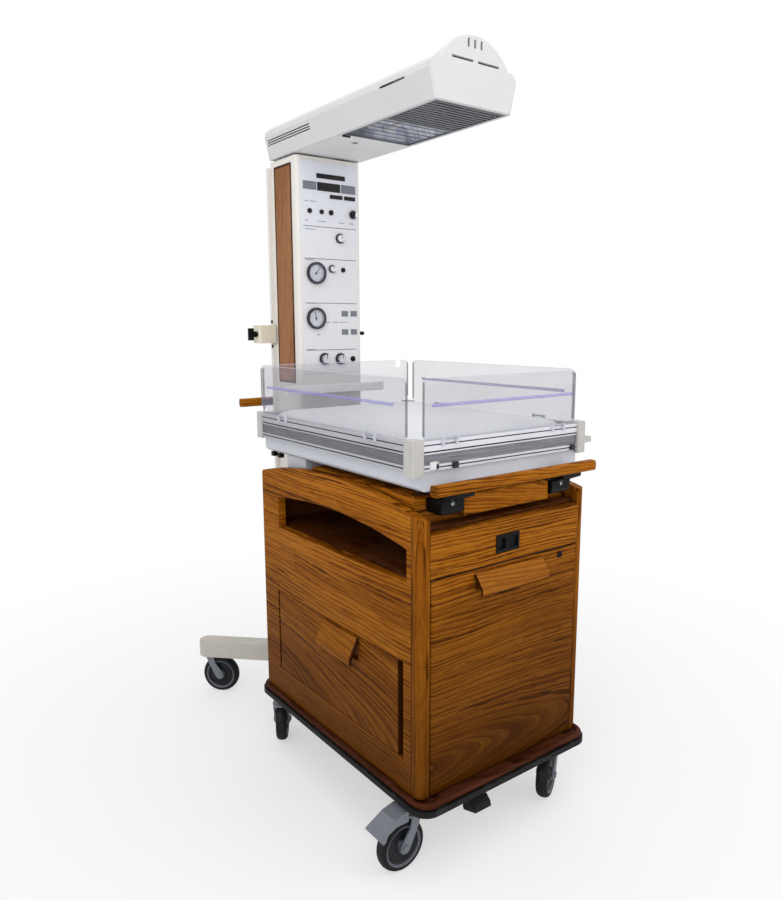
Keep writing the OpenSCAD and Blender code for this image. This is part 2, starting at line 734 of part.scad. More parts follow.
module pullout_board() {
    h = 24;
    y1 = riser_rear_y - riser_wall - 12;
    place() color("peru") difference() {
        union() {
            box([-tray_w / 2, tray_face_y, tray_z], [tray_w / 2, tray_face_y + 18, tray_z + tray_h]);
            box([-tray_board_half, tray_face_y + 17, tray_board_z], [tray_board_half, y1, tray_board_z + h]);
        }
        box([8 - tray_board_half, tray_face_y + 30, tray_board_z + 6], [tray_board_half - 8, y1 - 10, tray_z + tray_h]);
    }
}

// Rounded wooden bar along X: half length, back face, underside
module push_bar(half, y, z) {
    r = 7;
    along_x(-half, half) round_rect([y, z], [y + bar_d, z + bar_h], r);
}

module push_bars() {
    place() color("peru") {
        push_bar(bar_w / 2, front_y, bar_z);
        push_bar(rear_bar_w / 2, column_y1 + 13, rear_bar_z);
    }
}

module bar_brackets() {
    f = riser_front_y;
    b = front_y;
    z = bar_z;
    place() color("black") {
        for (s = [-1, 1]) intersection() {
            along_y(b - 1, f + 1) round_rect([s * bracket_x - bracket_w / 2, z - 56],
                [s * bracket_x + bracket_w / 2, z + 24], 16);
            along_x(s * bracket_x - bracket_w / 2, s * bracket_x + bracket_w / 2) polygon([[f, z - 51], [f - 36, z - 55], [f - 46, z - 51], [f - 51, z - 42], [f - 52, z - 22],
                [b + 8, z - 9], [b + 7, z], [b + bar_d - 2, z], [b + bar_d + 12, z - 13], [f - 36, z - 21],
                [f, z - 21]]);
        }
        for (s = [-1, 1]) box([s * 114 - 34, column_y1, rear_bar_z + 2],
            [s * 114 + 34, column_y1 + 13, rear_bar_z + bar_h - 3]);
    }
}

// Column

module column_shell() {
    w = column_t + 4;
    place() color("white") {
        difference() {
            slab([-column_x, column_y, leg_top], [column_x, column_y1, column_top], column_r);
            slab([w - column_x, column_y + column_t, leg_top - 1], [column_x - w, column_y1 - column_t, column_top - 6], 6);
            for (s = [-1, 1]) box([s * column_x - 3, column_y + trim_front, trim_z0],
                [s * column_x + 3, column_y + trim_front + trim_w, trim_z1]);
        }
        both_sides() box([column_x - 1, column_mid_y + 62, 700], [column_x + 12, column_mid_y + 74, trim_z1]);
    }
}

module wood_trims() {
    place() color("peru") for (s = [-1, 1]) box([s * (column_x - 1) - 2, column_y + trim_front, trim_z0],
        [s * (column_x - 1) + 2, column_y + trim_front + trim_w, trim_z1]);
}

// Control panel with its rules, gauge cases and knob spindles
module control_panel() {
    y = panel_y;
    place() color("gainsboro") {
        box([12 - column_x, y, trim_z0 + 28], [column_x - 12, column_y, column_top - 12]);
        for (z = RULES) box([20 - column_x, y - 0.6, z - 0.9], [column_x - 19, y + 1, z + 0.9]);
        for (g = GAUGES) translate([g.x, y, g.y]) rotate([90, 0, 0]) difference() {
            translate([0, 0, -1]) cylinder(gauge_out + 1, gauge_r, gauge_r);
            translate([0, 0, 1.5]) cylinder(gauge_out, gauge_r - 3, gauge_r - 3);
        }
        for (g = GAUGES) rod_y([g.x, y - 4.4, g.y], 4, 1.5);
        for (k = [KNOB_TEMPERATURE, KNOB_TIMER, KNOB_VACUUM, KNOB_OXYGEN, KNOB_AIR])
            rod_y([k.x, y - 8, k.y], 9, 3);
    }
}

module panel_inserts() {
    y = panel_y;
    place() color("black") {
        for (d = concat(DISPLAYS, KEYS)) box([d[0], y - 1.5, d[1]], [d[2], y, d[3]]);
        for (l = LAMPS) {
            rod_y([l.x, y - 3, l.y], 3, l.z);
            rod_y([l.x, y - 5, l.y], 5, l.z - 2.5);
        }
    }
}

module gauge_lenses() {
    place() color("lightblue", 0.4) for (g = GAUGES)
        rod_y([g.x, panel_y - gauge_out + 0.5, g.y], 1.5, gauge_r - 3);
}

module needle(g) {
    l = gauge_r - 8;
    place() translate([g.x, panel_y - 2.4, g.y]) rotate([0, g.z, 0]) color("black") difference() {
        union() {
            rod_y([0, -1, 0], 1, 3.5);
            along_y(-1, 0) polygon([[-1.2, -7], [1.2, -7], [0.7, l], [-0.7, l]]);
        }
        rod_y([0, -2, 0], 4, 1.5 + run_gap);
    }
}

// Knob: skirt, grip with a pointer groove, and the bore for its spindle
module knob(k) {
    place() translate([k.x, panel_y - clear, k.y]) color("black") difference() {
        union() {
            rod_y([0, -4, 0], 4, k[2]);
            rod_y([0, -k[3], 0], k[3], k[2] * 0.72);
        }
        rod_y([0, -8.2, 0], 10, 3 + run_gap);
        box([-0.8, -k[3] - 1, 0], [0.8, -k[3] + 1.2, k[2]]);
    }
}

// Rail over the bed's head, on a block at the column
module accessory_rail() {
    y = column_y - 30;
    place() color("white") {
        along_x(-rail_half_w, rail_half_w) round_rect([y, rail_z], [y + 12, rail_z + rail_h], 3);
        box([-80, y + 11, rail_z + 2], [80, column_y, rail_z + rail_h - 2]);
    }
}

// Clamps on the column's side rails, each with an upright pole bore
module rail_clamps() {
    y = column_mid_y + 68;
    x = column_x + 12;
    h = 53;
    z = clamp_z - h / 2;
    place() color("ivory") both_sides() difference() {
        union() {
            slab([x, y - 14, z], [x + 49, y + 31, z + h], 6);
            box([x - 8, y - 14, z], [x + 6, y - 6.2, z + h]);
            box([x - 8, y + 6.2, z], [x + 6, y + 22, z + h]);
        }
        rod_z([x + 26, y + 18, z - 1], h + 2, pole_r);
        rod_x([x + 2, y, clamp_z], 60, 5 + run_gap);
    }
}

module clamp_screw(s) {
    y = column_mid_y + 68;
    x = column_x + 12;
    place() color("black") {
        rod_x([s > 0 ? x + 2.5 : -x - 60, y, clamp_z], 57.5, 5);
        rod_x([s > 0 ? x + 53 : -x - 64, y, clamp_z], 11, 9);
        box([s > 0 ? x + 62 : -x - 78, y - 4, clamp_z - 18], [s > 0 ? x + 78 : -x - 62, y + 4, clamp_z + 18]);
    }
}

// Disc and journal that the hood turns on
module hood_pivot() {
    place() translate([0, column_mid_y, 0]) color("black") {
        rod_z([0, 0, column_top], hood_z - column_top - clear, 70);
        rod_z([0, 0, column_top], hood_z - column_top + 22, 25);
    }
}

// Bed

// Painted tray: skirt, deck, tilt lugs and the rear support neck
module bed_tray() {
    x = well_x - 0.5;
    y = bed_y - 6;
    z = bed_tray_z;
    place() color("white") difference() {
        union() {
            along_y(-y, y) polygon(concat([for (a = [0:15:90]) [-x + 16 - 16 * cos(a), z + 16 - 16 * sin(a)]],
                [for (a = [90:-15:0]) [x - 16 + 16 * cos(a), z + 16 - 16 * sin(a)]], [[x, rim_z], [-x, rim_z]]));
            box([-well_x, -well_y, rim_z - 1], [well_x, well_y, bed_deck]);
            box([-neck_half, neck_y0, deck_top + clear], [neck_half, neck_y1, z + 4]);
            for (s = [-1, 1]) box([s * (riser_half_w - 47) - 8, tilt_y - 9, tilt_z - 4],
                [s * (riser_half_w - 47) + 8, tilt_y + 9, z + 4]);
        }
        box([-x + 5, -y + 4, z + 4], [x - 5, y - 4, bed_deck - 4]);
        box([6 - neck_half, neck_y0 + 6, deck_top - 1], [neck_half - 6, neck_y1 - 6, z + 5]);
        rod_x([36 - riser_half_w, tilt_y, tilt_z], 2 * riser_half_w - 72, hinge_pin_r + run_gap);
        for (y = [-0.6, -0.2, 0.2]) rod_z([0, y * bed_y, z - 1], 6, 0.1 * bed_y);
    }
}

module rim_rails() {
    place() color("gray") difference() {
        box([-bed_x, -bed_y, rim_z], [bed_x, bed_y, rim_top]);
        box([-well_x, -well_y, rim_z - 1], [well_x, well_y, rim_top + 1]);
        for (s = [-1, 1], t = [-1, 1]) box([s * (bed_x + 5) - 30, t * (bed_y + 5) - 33, rim_z - 1],
            [s * (bed_x + 5) + 30, t * (bed_y + 5) + 33, rim_top + 1]);
        for (b = [[5, 8, 3], [13, 36, 2], [39, 42.5, 3.5], [54, 56.5, 2]]) difference() {
            box([-bed_x - 1, -bed_y - 1, rim_z + b[0]], [bed_x + 1, bed_y + 1, rim_z + b[1]]);
            box([b[2] - bed_x, b[2] - bed_y, rim_z + b[0] - 1], [bed_x - b[2], bed_y - b[2], rim_z + b[1] + 1]);
        }
        box([-well_x - 1, bed_y - 12.3, rim_top - 26], [well_x + 1, bed_y - 5.7, rim_top + 1]);
    }
}

// Corner blocks, panel hinge brackets with pins, catches and the tilt lever
module rim_hardware() {
    ax = bed_x + clear_axis_out;
    ay = bed_y + clear_axis_out;
    pin_r = 2;
    place() color("tan") {
        both_sides() for (t = [-1, 1]) difference() {
            translate([0, 0, rim_z - (t < 0 ? 9 : 4)]) linear_extrude(rim_h + (t < 0 ? 14 : 8))
                let (o = t < 0 ? 4 : 1.5) polygon([[bed_x - 25, t * (bed_y - 28)], [bed_x + o, t * (bed_y - 28)],
                    [bed_x + o, t * (bed_y + o - 3)], [bed_x + o - 3, t * (bed_y + o)], [bed_x - 25, t * (bed_y + o)]]);
            translate([0, 0, rim_z - 12]) linear_extrude(rim_h + 25)
                polygon([[bed_x - 31, t * (bed_y - 34)], [well_x, t * (bed_y - 34)],
                    [well_x, t * well_y], [bed_x - 31, t * well_y]]);
            box([bed_x - 40, t > 0 ? bed_y - 40 : -bed_y + 6, rim_z - 20],
                [well_x - 0.5, t > 0 ? bed_y - 6 : 40 - bed_y, rim_z]);
            box([bed_x - 40, t > 0 ? bed_y - 12.3 : bed_y + 20, rim_top - 26],
                [bed_x - 10, t > 0 ? bed_y - 5.7 : bed_y + 30, rim_top + 12]);
        }
        both_sides() for (y = [150 - bed_y, bed_y - 150]) {
            rod_y([ax, y - 21, clear_axis_z], 42, pin_r);
            for (e = [-19, 19]) box([bed_x, y + e - 2, rim_top - 11], [ax + 3, y + e + 2, clear_axis_z + 3]);
        }
        for (x = [97.5 - bed_x, bed_x - 97.5]) {
            rod_x([x - 21, -ay, clear_axis_z], 42, pin_r);
            for (e = [-19, 19]) box([x + e - 2, -ay - 3, rim_top - 11], [x + e + 2, -bed_y, clear_axis_z + 3]);
        }
        for (x = [113 - bed_x, bed_x - 43]) box([x - 7, -bed_y - 6, rim_z + 1], [x + 7, -bed_y, rim_z + 14]);
        box([43 - bed_x, -bed_y - 5, rim_z + 4], [65 - bed_x, -bed_y, rim_z + 20]);
        box([bed_x + 3, -bed_y + 2, rim_z + 13], [bed_x + 33, -bed_y + 20, rim_z + 27]);
    }
}

// Mattress: rings from the middle of its underside out, over the bulged sides and in to the crown
module mattress() {
    a = well_x - 2;
    b = well_y - 2;
    t = mattress_t;
    c = mattress_crown;
    rings = concat([for (p = [[14, 0], [5, 3], [1.5, 10], [0, 0.3 * t], [0, 0.6 * t], [1.5, t - 12], [5, t - 5],
        [12, t - 1]]) p], [for (i = [1:5]) [12 + i * 38, t - 1 + c * (1 - pow(1 - i / 5, 2))]]);
    place() color("lightsteelblue") translate([0, 0, mattress_z]) ring_solid(a, b, 22, rings);
}

// Closed solid through rounded rectangles, each given as inset and height
module ring_solid(a, b, r, rings) {
    n = 7;
    m = 4 * n;
    dirs = [[1, 1], [-1, 1], [-1, -1], [1, -1]];
    pts = [for (k = rings) let (q = max(r - k[0] * 0.5, 3)) for (j = [0:3], i = [0:n - 1])
        let (t = 90 * j + 90 * i / (n - 1), d = dirs[j])
        [d.x * (a - k[0] - q) + q * cos(t), d.y * (b - k[0] - q) + q * sin(t), k[1]]];
    last = len(rings) - 1;
    sides = [for (k = [0:last - 1], i = [0:m - 1]) let (j = (i + 1) % m, u = k * m, v = u + m)
        each [[u + i, v + j, u + j], [u + i, v + i, v + j]]];
    polyhedron(pts, concat([[for (i = [0:m - 1]) i]], sides, [[for (i = [m - 1:-1:0]) last * m + i]]));
}

// Clear panels

// Straps and knuckles of a drop panel, drawn along X with the panel towards +Y: hinge middles
module knuckles(xs, back) {
    for (x = xs) difference() {
        union() {
            rod_x([x - 16.7, 0, 0], 33.4, 3.7);
            box([x - 16.7, 0, -2.5], [x + 16.7, back, 3]);
        }
        rod_x([x - 30, 0, 0], 60, 2 + run_gap);
    }
}

// Drop panel, drawn along X about its hinge axis, panel towards +Y: half length, knuckle places, grip
module drop_panel(half, xs, grip) {
    y0 = clear_axis_out + 3.5;
    h = clear_top - clear_axis_z;
    color("lightcyan", 0.4) {
        difference() {
            along_y(y0, y0 + clear_t) difference() {
                round_rect([-half, -2.5], [half, h], 12);
                for (s = [-1, 1]) translate([s * (half - 9), h - 9]) circle(2.5);
            }
            box([-half + 40, y0 - 1, -5], [half - 40, y0 + clear_t + 1, -1.2]);
        }
        knuckles(xs, y0 + 1);
        along_x(-grip, grip) round_rect([y0 - 6, 67], [y0 + 1, 75], 2);
    }
}

module clear_panel_front() {
    place() translate([0, -bed_y - clear_axis_out, clear_axis_z]) drop_panel(bed_x - 31.5, [97.5 - bed_x, bed_x - 97.5], bed_x - 49.5);
}

module clear_panel_right() {
    place() translate([bed_x + clear_axis_out, 0, clear_axis_z]) rotate([0, 0, 90])
        drop_panel(bed_y - 31, [150 - bed_y, bed_y - 150], bed_y - 67);
}

module clear_panel_left() {
    place() translate([-bed_x - clear_axis_out, 0, clear_axis_z]) rotate([0, 0, -90])
        drop_panel(bed_y - 31, [150 - bed_y, bed_y - 150], bed_y - 67);
}

module clear_panel_rear() {
    y = bed_y - 12;
    z = rim_top + 12;
    place() color("lightcyan", 0.4) difference() {
        union() {
            box([27.5 - bed_x, y, rim_top - 25.7], [bed_x - 27.5, y + clear_t, z + 5]);
            along_y(y, y + clear_t) round_rect([11.5 - bed_x, z], [bed_x - 11.5, clear_top], 12);
        }
        box([206, y - 1, clear_top - 22], [230, y + clear_t + 1, clear_top + 1]);
        for (x = [-240, -225, 240]) rod_y([x, y - 1, clear_top - 14], clear_t + 2, 2.5);
    }
}

// Hood

// Half width of the hood at height h above its underside
function hood_half(h) = hood_low + (hood_mid - hood_low) * h / hood_mid_h;

module hood_outline(t) {
    z = hood_z;
    polygon([[t - hood_low, z - (t > 0 ? 1 : 0)], [hood_low - t, z - (t > 0 ? 1 : 0)],
        [hood_mid - t, z + hood_mid_h], [hood_mid - 3 - t, z + hood_mid_h + 13],
        [hood_high - t, z + hood_h - t], [t - hood_high, z + hood_h - t],
        [t + 3 - hood_mid, z + hood_mid_h + 13], [t - hood_mid, z + hood_mid_h]]);
}

module hood_shell() {
    t = hood_t;
    lean = atan2(hood_mid - hood_low, hood_mid_h);
    place() color("white") difference() {
        union() {
            along_y(hood_face, hood_y1) hood_outline(0);
            intersection() {
                union() {
                    translate([0, hood_face, nose_z]) rotate([-90, 0, 0]) cylinder(9, nose_r - 3, nose_r, $fn = 120);
                    translate([0, hood_y0, nose_z]) rotate([-90, 0, 0]) cylinder(42, nose_r, nose_r - 10, $fn = 120);
                }
                box([-200, hood_face - 1, hood_z + 40], [200, hood_y0 + 80, hood_z + 300]);
            }
        }
        along_y(hood_face + t + 1.5, hood_y1 - t) hood_outline(t);
        intersection() {
            translate([0, hood_face + 4, nose_z]) rotate([-90, 0, 0]) cylinder(40, nose_r - 7, nose_r - 16, $fn = 120);
            box([-200, hood_face, hood_z + 46], [200, hood_y0 + 80, hood_z + 300]);
        }
        both_sides() translate([hood_low, hood_face, hood_z]) rotate([0, lean, 0]) difference() {
            box([-9, -1, -20], [5, 9, 92]);
            rod_z([-9, 9, -21], 114, 9);
        }
        for (x = [[-70, -8], [6, 70]]) box([x[0], hood_face - 1, nose_z + 57], [x[1], hood_y0 + 2, nose_z + 62]);
        for (x = [-22, -3, 16]) box([x - 3, hood_face - 1, nose_z + 86], [x + 3, hood_y0 + 2, nose_z + 104]);
        for (s = [-1, 1]) {
            box([s * hood_mid - 9, hood_y0 + 84, hood_z + 59], [s * hood_mid + 9, hood_y0 + 178, hood_z + 64]);
            for (i = [0:2]) box([s * hood_mid - 12, hood_y0 + 500, hood_z + 37 + 6 * i],
                [s * hood_mid + 12, hood_y0 + 736, hood_z + 40 + 6 * i]);
        }
    }
}

// Underside pan with the light opening and the pivot's bearing
module hood_pan() {
    t = hood_t;
    z1 = hood_z + 3;
    place() color("white") difference() {
        union() {
            along_y(hood_face + t + 1.5, hood_y1 - t) polygon([[t - hood_low, hood_z], [hood_low - t, hood_z],
                [hood_half(3) - t, z1], [t - hood_half(3), z1]]);
            translate([0, column_mid_y, hood_z]) cylinder(26, 40, 40);
            rod_z([-34, 195, hood_z - 2], 4, 12);
        }
        box([-opening_half, opening_y0, hood_z - 1], [opening_half, opening_y1, z1 + 1]);
        translate([0, column_mid_y, hood_z - 1]) cylinder(30, 25 + run_gap, 25 + run_gap);
        rod_z([-34, 195, hood_z - 3], 3, 8);
    }
}

module reflector() {
    z = hood_z + 3;
    t = 1.5;
    w = opening_half + 3;
    place() color("silver") difference() {
        along_y(opening_split, opening_y1 + 3) polygon([[-w, z], [w, z], [w - 12, z + 30], [w - 42, z + reflector_h],
            [42 - w, z + reflector_h], [12 - w, z + 30]]);
        along_y(opening_split + t, opening_y1 + 3 - t) polygon([[t - w, z - 0.1], [w - t, z - 0.1],
            [w - 12 - t, z + 30], [w - 42 - t / 2, z + reflector_h - t], [42 + t / 2 - w, z + reflector_h - t],
            [12 + t - w, z + 30]]);
    }
}

// Heater: two straight quartz rods with ceramic ends
module heater_rod() {
    z = hood_z + 32;
    y0 = opening_split + 1.5;
    y1 = opening_y1 + 1.5;
    place() color("orange") for (x = [-26, 26]) {
        rod_y([x, y0, z], y1 - y0, 5);
        rod_y([x, y0, z], 12, 9);
        rod_y([x, y1 - 12, z], 12, 9);
    }
}

// Guard in the opening: frame, wires under the heater and slats under the lamp
module heater_guard() {
    x = opening_half;
    z = hood_z;
    pitch = (opening_split - 4 - opening_y0 - 4) / guard_slats;
    wire = (opening_y1 - 4 - opening_split - 4) / guard_wires;
    place() color("dimgray") {
        difference() {
            box([-x, opening_y0, z], [x, opening_y1, z + 3]);
            box([5 - x, opening_y0 + 5, z - 1], [x - 5, opening_split - 4, z + 4]);
            box([5 - x, opening_split + 4, z - 1], [x - 5, opening_y1 - 5, z + 4]);
        }
        for (i = [0:guard_wires - 1]) rod_x([4 - x, opening_split + 4 + wire * (i + 0.5), z + 1.5], 2 * x - 8, 1.2);
        for (i = [0:guard_slats - 1]) box([4 - x, opening_y0 + 4 + pitch * (i + 0.3), z + 0.4],
            [x - 4, opening_y0 + 4 + pitch * (i + 0.75), z + 2.6]);
    }
}

module fork_front_left() { at_castor(CASTOR_FL) fork(true); }
module fork_front_right() { at_castor(CASTOR_FR) fork(); }
module fork_rear_left() { at_castor(CASTOR_RL) fork(); }
module fork_rear_right() { at_castor(CASTOR_RR) fork(true); }
module fork_outer_left() { at_castor(CASTOR_OL) fork(); }
module fork_outer_right() { at_castor(CASTOR_OR) fork(); }
module wheel_front_left() { at_castor(CASTOR_FL) wheel(); }
module wheel_front_right() { at_castor(CASTOR_FR) wheel(); }
module wheel_rear_left() { at_castor(CASTOR_RL) wheel(); }
module wheel_rear_right() { at_castor(CASTOR_RR) wheel(); }
module wheel_outer_left() { at_castor(CASTOR_OL) wheel(); }
module wheel_outer_right() { at_castor(CASTOR_OR) wheel(); }
module brake_front_left() { at_castor(CASTOR_FL) brake_pedal(); }
module brake_rear_right() { at_castor(CASTOR_RR) brake_pedal(); }
module needle_upper() { needle(GAUGE_UPPER); }
module needle_lower() { needle(GAUGE_LOWER); }
module knob_temperature() { knob(KNOB_TEMPERATURE); }
module knob_timer() { knob(KNOB_TIMER); }
module knob_vacuum() { knob(KNOB_VACUUM); }
module knob_oxygen() { knob(KNOB_OXYGEN); }
module knob_air() { knob(KNOB_AIR); }
module clamp_screw_left() { clamp_screw(-1); }
module clamp_screw_right() { clamp_screw(1); }

base_board();
base_bumper();
side_panels();
inner_boards();
front_panel();
socket_plate();
hinge_pins();
riser();
push_bars();
bar_brackets();
chassis();
castor_plates();
column_shell();
wood_trims();
control_panel();
panel_inserts();
gauge_lenses();
accessory_rail();
rail_clamps();
hood_pivot();
front_door();
side_door();
pullout_board();
foot_pedal();
fork_front_left();
fork_front_right();
fork_rear_left();
fork_rear_right();
fork_outer_left();
fork_outer_right();
wheel_front_left();
wheel_front_right();
wheel_rear_left();
wheel_rear_right();
wheel_outer_left();
wheel_outer_right();
brake_front_left();
brake_rear_right();
needle_upper();
needle_lower();
knob_temperature();
knob_timer();
knob_vacuum();
knob_oxygen();
knob_air();
clamp_screw_left();
clamp_screw_right();
bed_tray();
rim_rails();
rim_hardware();
mattress();
clear_panel_front();
clear_panel_left();
clear_panel_right();
clear_panel_rear();
hood_shell();
hood_pan();
reflector();
heater_rod();
heater_guard();
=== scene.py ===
"""Infant warmer: finishes, soft mattress, dials, small fittings and the stage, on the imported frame."""

import json
import math

import bpy
import numpy as np
from bpy.props import FloatProperty, FloatVectorProperty, IntProperty, PointerProperty
from mathutils import Euler, Matrix, Vector


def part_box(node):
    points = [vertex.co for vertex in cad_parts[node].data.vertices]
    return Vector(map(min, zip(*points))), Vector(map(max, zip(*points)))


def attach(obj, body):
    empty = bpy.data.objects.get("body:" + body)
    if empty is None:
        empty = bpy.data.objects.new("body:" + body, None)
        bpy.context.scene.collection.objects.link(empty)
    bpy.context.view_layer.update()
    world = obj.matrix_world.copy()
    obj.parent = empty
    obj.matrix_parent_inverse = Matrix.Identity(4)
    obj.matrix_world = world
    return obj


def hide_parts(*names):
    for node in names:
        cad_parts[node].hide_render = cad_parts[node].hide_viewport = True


bl_info = {
    "name": "Infant warmer",
    "version": (1, 0, 0),
    "blender": (4, 5, 0),
    "location": "View3D > Sidebar > Warmer",
    "description": "Dresses the infant warmer's frame in oak, enamel, clear acrylic and a soft mattress",
    "category": "Object",
}

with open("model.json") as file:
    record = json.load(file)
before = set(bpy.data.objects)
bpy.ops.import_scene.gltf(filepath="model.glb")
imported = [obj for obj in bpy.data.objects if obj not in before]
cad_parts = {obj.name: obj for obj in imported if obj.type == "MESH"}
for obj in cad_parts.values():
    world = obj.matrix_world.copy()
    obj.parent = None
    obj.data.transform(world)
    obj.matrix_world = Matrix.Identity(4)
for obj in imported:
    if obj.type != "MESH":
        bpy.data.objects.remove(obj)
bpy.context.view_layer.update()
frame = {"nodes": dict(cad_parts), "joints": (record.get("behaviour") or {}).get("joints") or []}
NODES = frame["nodes"]
MID_Y = sum(v.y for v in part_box("rim_rails")) / 2
PRINT_DEPTH = 0.0025  # The panel's printed face stands this far before the column, in metres
SWEEP = 135  # Degrees that a dial's scale and a knob's scale reach to each side of straight up
SETTLE_FRAMES = 20  # Length of the mattress's cloth run


def here(x, y, z):
    """A place measured in millimetres from the middle of the bed at the floor, in the frame's metres."""
    return (x / 1000, y / 1000 + MID_Y, z / 1000)


def shade(red, green, blue):
    """Scene colour of a display colour given from 0 to 255."""
    c = np.array([red, green, blue]) / 255
    return tuple(np.where(c <= 0.04045, c / 12.92, ((c + 0.055) / 1.055) ** 2.4).tolist())


def colour(name, text, *rgb):
    """A colour setting with its default given from 0 to 255."""
    return FloatVectorProperty(name=name, description=text, subtype="COLOR", min=0, max=1,
                               default=shade(*rgb))


class WarmerWood(bpy.types.PropertyGroup):
    light: colour("Light oak", "Palest wood between two growth rings", 210, 134, 38)
    middle: colour("Middle oak", "Main tone of the varnished oak", 136, 74, 8)
    dark: colour("Dark oak", "Growth rings and open pores", 42, 18, 1)
    # The base board's red-brown stain is set darker, partly as painted shade near the floor
    base: colour("Base board", "Red-brown stain of the base board", 62, 28, 13)
    # Painted shade: the boards inside the cabinet take this darker tone for the shade they lie in
    inside: colour("Inside boards", "Stain of the boards inside the cabinet", 86, 42, 13)
    trim: colour("Column trim", "Main tone of the column's wood trims", 153, 102, 64)
    ring: FloatProperty(name="Ring pitch", description="Middle distance between two growth rings",
                        default=0.011, min=0.002, max=0.05, unit="LENGTH")
    front_pull: FloatProperty(name="Front pull", description="Length of the front door's pull", default=0.216,
                              min=0.1, max=0.3, unit="LENGTH")
    side_pull: FloatProperty(name="Side pull", description="Length of the side door's pull", default=0.156,
                             min=0.1, max=0.3, unit="LENGTH")


class WarmerColours(bpy.types.PropertyGroup):
    enamel: colour("Enamel", "White powder coat of the column", 232, 228, 222)
    hood: colour("Hood", "White powder coat of the hood", 215, 215, 216)
    tray: colour("Bed tray", "Cool white powder coat under the bed", 208, 212, 220)
    chassis: colour("Chassis", "Warm grey of the legs and hub", 192, 186, 180)
    panel: colour("Panel", "Ground of the control panel", 226, 226, 228)
    aluminium: colour("Aluminium", "Bright anodised bands of the rails round the bed", 226, 227, 234)
    blocks: colour("Corner blocks", "Moulded corners of the bed", 192, 190, 186)
    castor: colour("Castor grey", "Forks and brake pedals", 116, 120, 128)
    tyre: colour("Tyre", "Rubber tread", 12, 12, 14)
    black: colour("Black", "Knobs, brackets, bumper and pedal", 11, 11, 13)
    clear: colour("Clear sheet", "Tint of the acrylic sheets", 112, 114, 134)
    edge: colour("Sheet edges", "Violet of the acrylic's edges and grips", 134, 126, 198)
    cover: colour("Mattress cover", "Coated fabric of the mattress", 232, 234, 238)


class WarmerSizes(bpy.types.PropertyGroup):
    swell: FloatProperty(name="Swell", description="Most that a point of the mattress moves as it is filled",
                         default=0.004, min=0, max=0.02, unit="LENGTH")
    voxel: FloatProperty(name="Cloth grid", description="Size of the mattress's cloth cells", default=0.006,
                         min=0.004, max=0.02, unit="LENGTH")
    screw: FloatProperty(name="Screw head", description="Radius of the screw heads", default=0.0036,
                         min=0.001, max=0.01, unit="LENGTH")
    ticks: IntProperty(name="Gauge ticks", description="Spaces on each gauge's scale", default=25,
                       min=5, max=60)


class WarmerStage(bpy.types.PropertyGroup):
    key: FloatProperty(name="Key", description="Power of the large lamp on the left", default=52,
                       min=0, unit="POWER")
    fill: FloatProperty(name="Fill", description="Power of the soft lamp on the right", default=24,
                        min=0, unit="POWER")
    top: FloatProperty(name="Top", description="Power of the soft lamp over the bed", default=24,
                       min=0, unit="POWER")
    sky: FloatProperty(name="Sky", description="Strength of the even light from all round", default=0.68,
                       min=0)
    floor: colour("Floor", "Pale floor", 246, 246, 246)


# Materials


